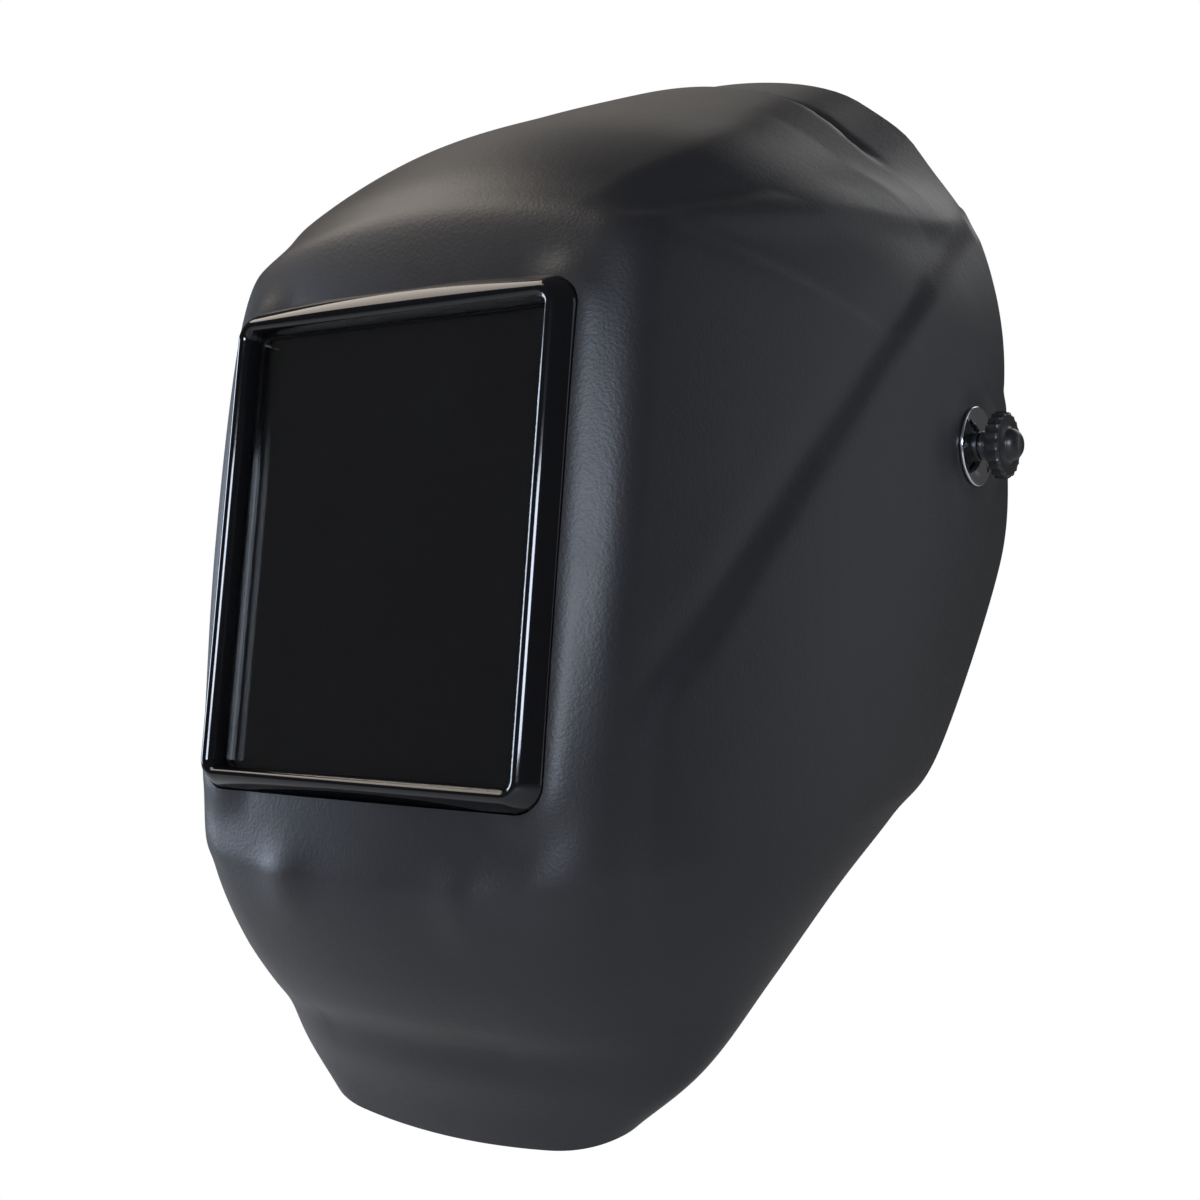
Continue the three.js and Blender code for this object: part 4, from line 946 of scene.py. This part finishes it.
@dataclass
class Headgear:
    """The brow band, sweatband, side arms and crown strap."""

    half_width: float = 78.5
    length: float = 108.0
    back: float = 28.0
    thickness: float = 2.0
    low: float = -6.0
    high: float = 18.0
    sweat_thickness: float = 5.0
    strap_thickness: float = 1.4
    strap_width: float = 14.0
    strap_top: float = 105.0
    strap_back: float = 10.0
    strap_rise: float = 12.0
    arm_thickness: float = 3.0
    arm_height: float = 22.0
    arm_middle: float = 98.6

    def brow(self, angle: Array, offset: float) -> Array:
        """Points on the brow band: an ellipse in plan, moved along its normal by the offset."""
        x, y = self.half_width * np.sin(angle), self.back - self.length * np.cos(angle)
        normal = np.stack([np.sin(angle) / self.half_width, -np.cos(angle) / self.length], -1)
        normal /= np.linalg.norm(normal, axis=-1, keepdims=True)
        return np.stack([x, y], -1) + offset * normal

    def padded_strip(self, name: str, line: Array, thickness: float, low: float, high: float, seams: int) -> bpy.types.Object:
        """A cushion along a line: its section a soft oval, pulled in at its ends and at sewn seams.

        The section's half sizes are full in the middle and shrink towards each end as a root of
        the distance left; at each seam a bell curve takes a fifth off the thickness.

        Args:
            name: The piece's name.
            line: Points (n, 2) along the middle.
            thickness: Full thickness.
            low: Lowest z.
            high: Highest z.
            seams: Sewn lines across it.

        Returns:
            The piece, with a UV map in centimetres.
        """
        count, size = len(line), 40
        share = np.linspace(0, 1, count)
        end = np.clip(np.minimum(share, 1 - share) / 0.05, 0.02, 1) ** 0.45
        pinch = sum(bump(share, (k + 1) / (seams + 1), 0.008) for k in range(seams)) if seams else 0 * share
        angle = np.linspace(0, 2 * math.pi, size, endpoint=False)
        power = 0.55
        across = np.sign(np.cos(angle)) * np.abs(np.cos(angle)) ** power
        up = np.sign(np.sin(angle)) * np.abs(np.sin(angle)) ** power
        along = np.gradient(line, axis=0)
        along /= np.linalg.norm(along, axis=1, keepdims=True)
        normal = np.stack([along[:, 1], -along[:, 0]], -1)
        ripple = 1 + 0.03 * np.sin(37 * share) * np.sin(61 * share)
        thick = thickness / 2 * end * (1 - 0.4 * pinch) * ripple
        height = (high - low) / 2 * (0.9 + 0.1 * end) * (1 - 0.03 * pinch)
        plan = line[:, None, :] + (thick[:, None] * across)[..., None] * normal[:, None, :]
        z = (low + high) / 2 + height[:, None] * up
        rings = from_headgear(np.concatenate([plan, z[..., None]], -1))
        piece = tube(name, rings, 70)
        travel = np.concatenate([[0], np.cumsum(np.linalg.norm(np.diff(line, axis=0), axis=1))])
        girth = np.linspace(0, 2 * (high - low + thickness), size, endpoint=False)
        uv = np.stack(np.broadcast_arrays(travel[:, None] / 10, girth[None, :] / 10), -1).reshape(-1, 2)
        layer = piece.data.uv_layers.new(name="UVMap")
        corner = np.empty(len(piece.data.loops), np.int32)
        piece.data.loops.foreach_get("vertex_index", corner)
        layer.data.foreach_set("uv", uv[corner].astype(np.float32).ravel())
        return piece

    def make_band(self, wardrobe: Wardrobe) -> None:
        """Builds the brow band and its sweatband."""
        angle = np.radians(np.linspace(-91, 91, 181))
        line = self.brow(angle, -self.thickness / 2)
        swell = 1.2 * bump(np.degrees(angle), 0, 30)
        rings = ribbon_rings(line, self.thickness, self.low - swell, self.high + swell, 0.7)
        wardrobe.dress(tube("brow_band_strip", from_headgear(rings)), "band_plastic", Body.HEADBAND, "brow_band")
        line = self.brow(np.radians(np.linspace(-41, 41, 241)), -self.thickness - 0.4 - self.sweat_thickness / 2)
        pad = self.padded_strip("sweatband_cloth", line, self.sweat_thickness + 0.6, self.low - 2, self.high + 2, 5)
        wardrobe.dress(pad, "pad_cloth", Body.HEADBAND, "sweatband")

    def make_arms(self, wardrobe: Wardrobe) -> None:
        """Builds the side arms: along the band, then out to the pivots on a smooth curve."""
        on_band = self.brow(np.radians(np.linspace(43, 58, 5)), 0.4 + self.arm_thickness / 2)
        middle = self.arm_middle
        out = np.array([[middle - 18.5, -23.5], [middle - 9, -18.5], [middle - 2.2, -12], [middle, -5], [middle, 6], [middle, 14]])
        corners = np.concatenate([on_band, out])
        place = np.linspace(0, len(corners) - 1, 90)
        line = smooth_line(corners, place)
        for side in Side:
            path = line * np.array([side.value, 1])
            rings = ribbon_rings(path, self.arm_thickness, -self.arm_height / 2, self.arm_height / 2, 0.9)
            arm = tube("side_arm_" + side.word + "_moulding", from_headgear(rings))
            wardrobe.dress(arm, "band_plastic", Body.HEADBAND, "side_arm_" + side.word)

    def make_straps(self, wardrobe: Wardrobe) -> None:
        """Builds the two crown straps: half ellipses over the head, one on top of the other."""
        for side, rise in ((Side.LEFT, 0.0), (Side.RIGHT, 2.0)):
            angle = np.radians(np.linspace(-4, 104, 110))
            across = self.half_width + 0.5 + self.strap_thickness / 2
            plan = np.stack([
                side.value * across * np.cos(angle),
                self.strap_rise + (self.strap_top + rise - self.strap_rise) * np.sin(angle),
            ], -1)
            half = self.strap_width / 2 * np.minimum(1, np.sqrt(np.clip(np.minimum(angle - angle[0], angle[-1] - angle), 0.002, 1) / 0.07))
            rings = ribbon_rings(plan, self.strap_thickness, -half, half, 0.45)
            rings = np.stack([rings[..., 0], rings[..., 2] + self.strap_back, rings[..., 1]], -1)
            strap = tube("crown_strap_" + side.word + "_strip", from_headgear(rings))
            hole = turned_rings(np.array([[2.4, 70.0], [2.4, 90.0]]), 32) * np.array([side.value, 1, 1])
            hole = hole + np.array([0, self.strap_back, self.strap_rise])
            cut_out(strap, [tube("hole_cutter", from_headgear(hole))])
            wardrobe.dress(strap, "band_plastic", Body.CROWN_STRAP, "crown_strap_" + side.word)

    def make(self, wardrobe: Wardrobe) -> None:
        """Builds every part of the headgear that is worn still."""
        self.make_band(wardrobe)
        self.make_arms(wardrobe)
        self.make_straps(wardrobe)


def smooth_line(points: Array, place: Array) -> Array:
    """Catmull-Rom curve through points, at places counted in points from the first."""
    padded = np.vstack([2 * points[0] - points[1], points, 2 * points[-1] - points[-2]])
    i = np.minimum(place.astype(int), len(points) - 2)
    f = (place - i)[:, None]
    a, b, c, d = (padded[i + k] for k in range(4))
    return (2 * b + (c - a) * f + (2 * a - 5 * b + 4 * c - d) * f**2 + (3 * b - a - 3 * c + d) * f**3) / 2


@dataclass
class Ratchet:
    """The nape housing, its pad and the knob that sizes the band."""

    back: float = 28.0
    slot_inner: float = 79.0
    slot_outer: float = 83.2
    wall: float = 3.3
    reach: float = math.radians(24)
    half_height: float = 15.0
    pad_thickness: float = 6.4
    knob_radius: float = 17.0
    knob_thickness: float = 14.0
    lobes: int = 12
    rack_radius: float = 80.6
    rack_thickness: float = 1.8
    rack_half_height: float = 9.5
    rack_inner: float = 79.7
    tooth: float = 0.6
    pinion_radius: float = 4.0
    pinion_teeth: int = 10

    def make_racks(self, wardrobe: Wardrobe) -> None:
        """Builds both racks: arc bars whose narrow ends have teeth, one above the pinion and one below.

        Along the narrow end the lower edge steps between a tooth's tip and root at half the
        pinion's pitch; past the neck the bar is full height.
        """
        pitch = math.pi * self.pinion_radius / self.pinion_teeth / self.rack_inner
        tip, neck, tail = np.radians([-12, 28, 91])
        count = 2 * int((neck - tip) / (2 * pitch)) + 1
        angle = np.concatenate([tip + pitch * np.arange(count), np.linspace(neck + math.radians(1), tail, 64)])
        step = np.where(np.arange(count) % 2 == 1, 1, 3) * self.tooth
        low = np.concatenate([self.pinion_radius + 0.3 + step, np.full(64, -self.rack_half_height)])
        high = np.full(len(angle), self.rack_half_height)
        for side in Side:
            x = side.value * self.rack_radius * np.sin(angle)
            line = np.stack([x, self.back + self.rack_radius * np.cos(angle)], -1)
            rings = ribbon_rings(line, self.rack_thickness, low, high, 0.35) * np.array([1, 1, side.value])
            rack = tube("rack_" + side.word + "_strip", from_headgear(rings))
            body = Body.RACK_LEFT if side is Side.LEFT else Body.RACK_RIGHT
            wardrobe.dress(rack, "band_plastic", body, "rack_" + side.word)

    def arc(self, radius: float, reach: float, count: int) -> Array:
        """Points on the rear arc, its angle measured from straight back."""
        angle = np.linspace(-reach, reach, count)
        return np.stack([radius * np.sin(angle), self.back + radius * np.cos(angle)], -1)

    def make_housing(self, wardrobe: Wardrobe) -> None:
        """Builds the housing: a rounded arc bar with the racks' slot and the knob's bore cut out."""
        outer = self.slot_outer + self.wall
        line = self.arc((self.slot_inner + outer) / 2, self.reach, 60)
        share = np.linspace(-1, 1, 60)
        height = self.half_height * (1 - 0.12 * np.abs(share) ** 4)
        rings = ribbon_rings(line, outer - self.slot_inner, -height, height, 1.6)
        housing = tube("ratchet_housing_moulding", from_headgear(rings))
        slot_line = self.arc((self.slot_inner - 2 + self.slot_outer) / 2, self.reach + 0.1, 50)
        slot = tube("slot_cutter", from_headgear(ribbon_rings(slot_line, self.slot_outer - self.slot_inner + 2, -10.5, 10.5, 0.4)))
        bore = turned_rings(np.array([[3.5, self.slot_inner], [3.5, outer + 4]]), 40)
        bore = np.stack([bore[..., 1], self.back + bore[..., 0], bore[..., 2]], -1)
        cut_out(housing, [slot, tube("bore_cutter", from_headgear(bore))])
        wardrobe.dress(housing, "band_plastic", Body.RATCHET, "ratchet_housing")
        cover_line = self.arc(self.slot_inner - 1.55, self.reach, 60)
        cover = tube("ratchet_cover_plate", from_headgear(ribbon_rings(cover_line, 2.5, -height, height, 0.8)))
        wardrobe.dress(cover, "band_plastic", Body.RATCHET, "ratchet_cover")

    def make_pad(self, headgear: Headgear, wardrobe: Wardrobe) -> None:
        """Builds the cloth pad inside the housing."""
        middle = self.slot_inner - 3.1 - self.pad_thickness / 2
        line = self.arc(middle, self.reach + math.radians(4), 161)
        pad = headgear.padded_strip("nape_pad_cloth", line, self.pad_thickness + 0.3, -self.half_height - 4, self.half_height + 4, 2)
        wardrobe.dress(pad, "pad_cloth", Body.RATCHET, "nape_pad")

    def make_knob(self, wardrobe: Wardrobe) -> None:
        """Builds the knob: a turned cup whose rim is rippled into lobes."""
        face = self.slot_outer + self.wall + 0.4
        end = face + self.knob_thickness
        radius = self.knob_radius
        corners = [
            (3.5, face + 3.4, 0), (6, face + 3.4, 0.2), (6, face + 3, 0.2), (13.3, face + 3, 0.3), (13.3, face, 0.3),
            (radius - 0.8, face, 0.5), (radius, face + 1.2, 0.5), (radius - 0.3, end - 3.2, 1.0), (radius - 2, end - 0.6, 1.2),
            (radius - 5, end, 0.8), (9.0, end - 0.5, 1.0), (5.6, end, 0.5), (4.6, end - 0.3, 0.2), (4.6, end - 3, 0.2),
            (1.8, end - 3, 0), (1.8, end - 4.4, 0), (3.5, end - 4.4, 0), (3.5, face + 3.4, 0),
        ]
        profile = arc_profile(corners, 5)
        angle = np.linspace(0, 2 * math.pi, 192, endpoint=False)
        wave = -1.5 * (0.5 + 0.5 * np.cos(angle * self.lobes)) ** 2.5
        share = smoothstep(radius - 3.5, radius - 1.2, profile[:, 0]) * smoothstep(face + 0.4, face + 3, profile[:, 1])
        rings = turned_rings(profile, len(angle), share[:, None] * wave[None, :])
        rings = np.stack([rings[..., 1], self.back + rings[..., 0], rings[..., 2]], -1)
        knob = torus("ratchet_knob_moulding", from_headgear(rings))
        wardrobe.dress(knob, "knob_plastic", Body.RATCHET_KNOB, "ratchet_knob")

    def make(self, headgear: Headgear, wardrobe: Wardrobe) -> None:
        """Builds every part at the nape."""
        self.make_racks(wardrobe)
        self.make_housing(wardrobe)
        self.make_pad(headgear, wardrobe)
        self.make_knob(wardrobe)


# ---------------------------------------------------------------- kept CAD pieces

def dress_cad_nodes(wardrobe: Wardrobe) -> None:
    """Gives each CAD node that shows its slot's material, welded corners and eased edges."""
    slots = {row["node"]: row["material_slot"] for row in frame["record"]["subparts"]}
    for name, obj in frame["nodes"].items():
        if obj.hide_render:
            continue
        wardrobe.dress(obj, slots[name])
        weld = obj.modifiers.new("weld", "WELD")
        weld.merge_threshold = 0.00001
        bevel = obj.modifiers.new("ease", "BEVEL")
        bevel.width = 0.0002
        bevel.segments = 2
        bevel.limit_method = "ANGLE"
        bevel.angle_limit = math.radians(40)
        log.info("%s: dressed as %s", name, slots[name])


# ---------------------------------------------------------------- studio

@dataclass(frozen=True)
class Lamp:
    """A soft box: where it stands, what it looks at, its size and its light."""

    name: str
    place: tuple[float, float, float]
    size: tuple[float, float]
    power: float
    colour: Colour

    def make(self) -> None:
        """Adds the lamp, aimed at the helmet."""
        data = bpy.data.lights.new(self.name, "AREA")
        data.shape = "RECTANGLE"
        data.size, data.size_y = self.size
        data.energy = self.power
        data.color = self.colour
        lamp = bpy.data.objects.new(self.name, data)
        lamp.location = self.place
        lamp.rotation_euler = (Vector((0, -0.05, -0.03)) - lamp.location).to_track_quat("-Z", "Y").to_euler()
        bpy.context.scene.collection.objects.link(lamp)


@dataclass
class Studio:
    """The camera, the lamps, the pale floor and the white surroundings."""

    azimuth: float = math.radians(34.6)
    focal_pixels: float = 1683.0
    picture_width: float = 1200.0
    sensor: float = 36.0
    window_in_view: tuple[float, float, float] = (-61.0, 15.0, 452.0)
    floor_drop: float = 0.55
    lamps: tuple[Lamp, ...] = (
        Lamp("top_box", (-0.95, -0.35, 1.3), (1.1, 0.9), 12, (1.0, 0.9, 0.79)),
        Lamp("crown_box", (-0.8, 0.9, 1.2), (0.9, 0.6), 1.2, (1.0, 0.93, 0.85)),
        Lamp("left_box", (-1.9, -0.45, 0.15), (0.7, 0.8), 20, (0.72, 0.82, 1.0)),
        Lamp("front_box", (0.84, -1.76, 0.3), (0.75, 0.4), 24, (0.76, 0.84, 1.0)),
        Lamp("side_box", (1.5, 0.9, 0.3), (1.2, 1.4), 4, (0.9, 0.93, 1.0)),
        Lamp("rear_box", (0.2, 1.7, 1.1), (1.2, 0.8), 5, (1.0, 1.0, 1.0)),
    )

    def make_camera(self) -> None:
        """Places the camera so that the window's centre lies at its place in view."""
        right = Vector((math.cos(self.azimuth), math.sin(self.azimuth), 0))
        ahead = Vector((-math.sin(self.azimuth), math.cos(self.azimuth), 0))
        across, up, away = self.window_in_view
        place = Vector(WINDOW_CENTRE) - right * across - Vector((0, 0, up)) - ahead * away
        data = bpy.data.cameras.new("camera")
        data.lens = self.focal_pixels / self.picture_width * self.sensor
        data.sensor_width = self.sensor
        data.clip_start = 0.01
        camera = bpy.data.objects.new("camera", data)
        camera.location = place * MM
        camera.rotation_euler = (math.pi / 2, 0, self.azimuth)
        bpy.context.scene.collection.objects.link(camera)
        bpy.context.scene.camera = camera

    def make_world(self) -> None:
        """Surrounds the helmet with soft grey light that the camera sees as white and gloss sees as dim."""
        world = bpy.data.worlds.new("surroundings")
        world.use_nodes = True
        bpy.context.scene.world = world
        graph = Graph(world.node_tree)
        background = world.node_tree.nodes["Background"]
        background.inputs["Color"].default_value = (1.0, 1.0, 1.0, 1.0)
        path = graph.add("LightPath")
        lit = graph.maths("SUBTRACT", 0.26, graph.maths("MULTIPLY", path.outputs["Is Glossy Ray"], 0.2))
        graph.put(graph.maths("MAXIMUM", path.outputs["Is Camera Ray"], lit), background.inputs["Strength"])

    def make_floor(self) -> None:
        """Lays a round pale floor that fades into the white surroundings.

        Rings of points at growing radii make the disc; its material is plain near the middle and
        glows white further out, for camera rays.
        """
        radius = np.concatenate([[1.0], np.geomspace(50, 6000, 24)])
        angle = np.linspace(0, 2 * math.pi, 96, endpoint=False)
        x, y = radius[:, None] * np.cos(angle), radius[:, None] * np.sin(angle)
        points = np.stack([x, y, np.full_like(x, -self.floor_drop / MM)], -1)
        faces = grid_quads(len(radius), len(angle), False, True).tolist()
        faces.append(list(range(len(angle)))[::-1])
        floor = make_mesh("floor", points.reshape(-1, 3), faces)
        material = bpy.data.materials.new("floor_paint")
        material.use_nodes = True
        graph = Graph(material.node_tree)
        shader = material.node_tree.nodes["Principled BSDF"]
        shader.inputs["Base Color"].default_value = (0.6, 0.6, 0.6, 1.0)
        shader.inputs["Roughness"].default_value = 0.9
        glow = graph.add("Emission")
        path = graph.add("LightPath")
        length = graph.add("VectorMath", operation="LENGTH")
        graph.put(graph.add("TexCoord").outputs["Object"], length.inputs[0])
        fade = graph.between(length.outputs["Value"], 0.25, 0.8, 0.55, 1.0)
        blend = graph.add("MixShader")
        graph.put(graph.maths("MULTIPLY", path.outputs["Is Camera Ray"], fade), blend.inputs[0])
        graph.put(shader.outputs[0], blend.inputs[1])
        graph.put(glow.outputs[0], blend.inputs[2])
        graph.put(blend.outputs[0], material.node_tree.nodes["Material Output"].inputs["Surface"])
        floor.data.materials.append(material)

    def make(self) -> None:
        """Builds the studio."""
        bpy.context.scene.view_settings.view_transform = "Standard"
        self.make_camera()
        self.make_world()
        self.make_floor()
        for lamp in self.lamps:
            lamp.make()


# ---------------------------------------------------------------- all together


def main() -> None:
    """Builds the studio, then each sub-assembly, then dresses what CAD shows."""
    logging.basicConfig(level=logging.INFO, format="%(name)s: %(message)s")
    wardrobe = Wardrobe()
    Studio().make()
    Shell().make(wardrobe)
    Window().make(wardrobe)
    Pivots().make(wardrobe)
    headgear = Headgear()
    headgear.make(wardrobe)
    Ratchet().make(headgear, wardrobe)
    dress_cad_nodes(wardrobe)


if __name__ == "__main__":
    main()
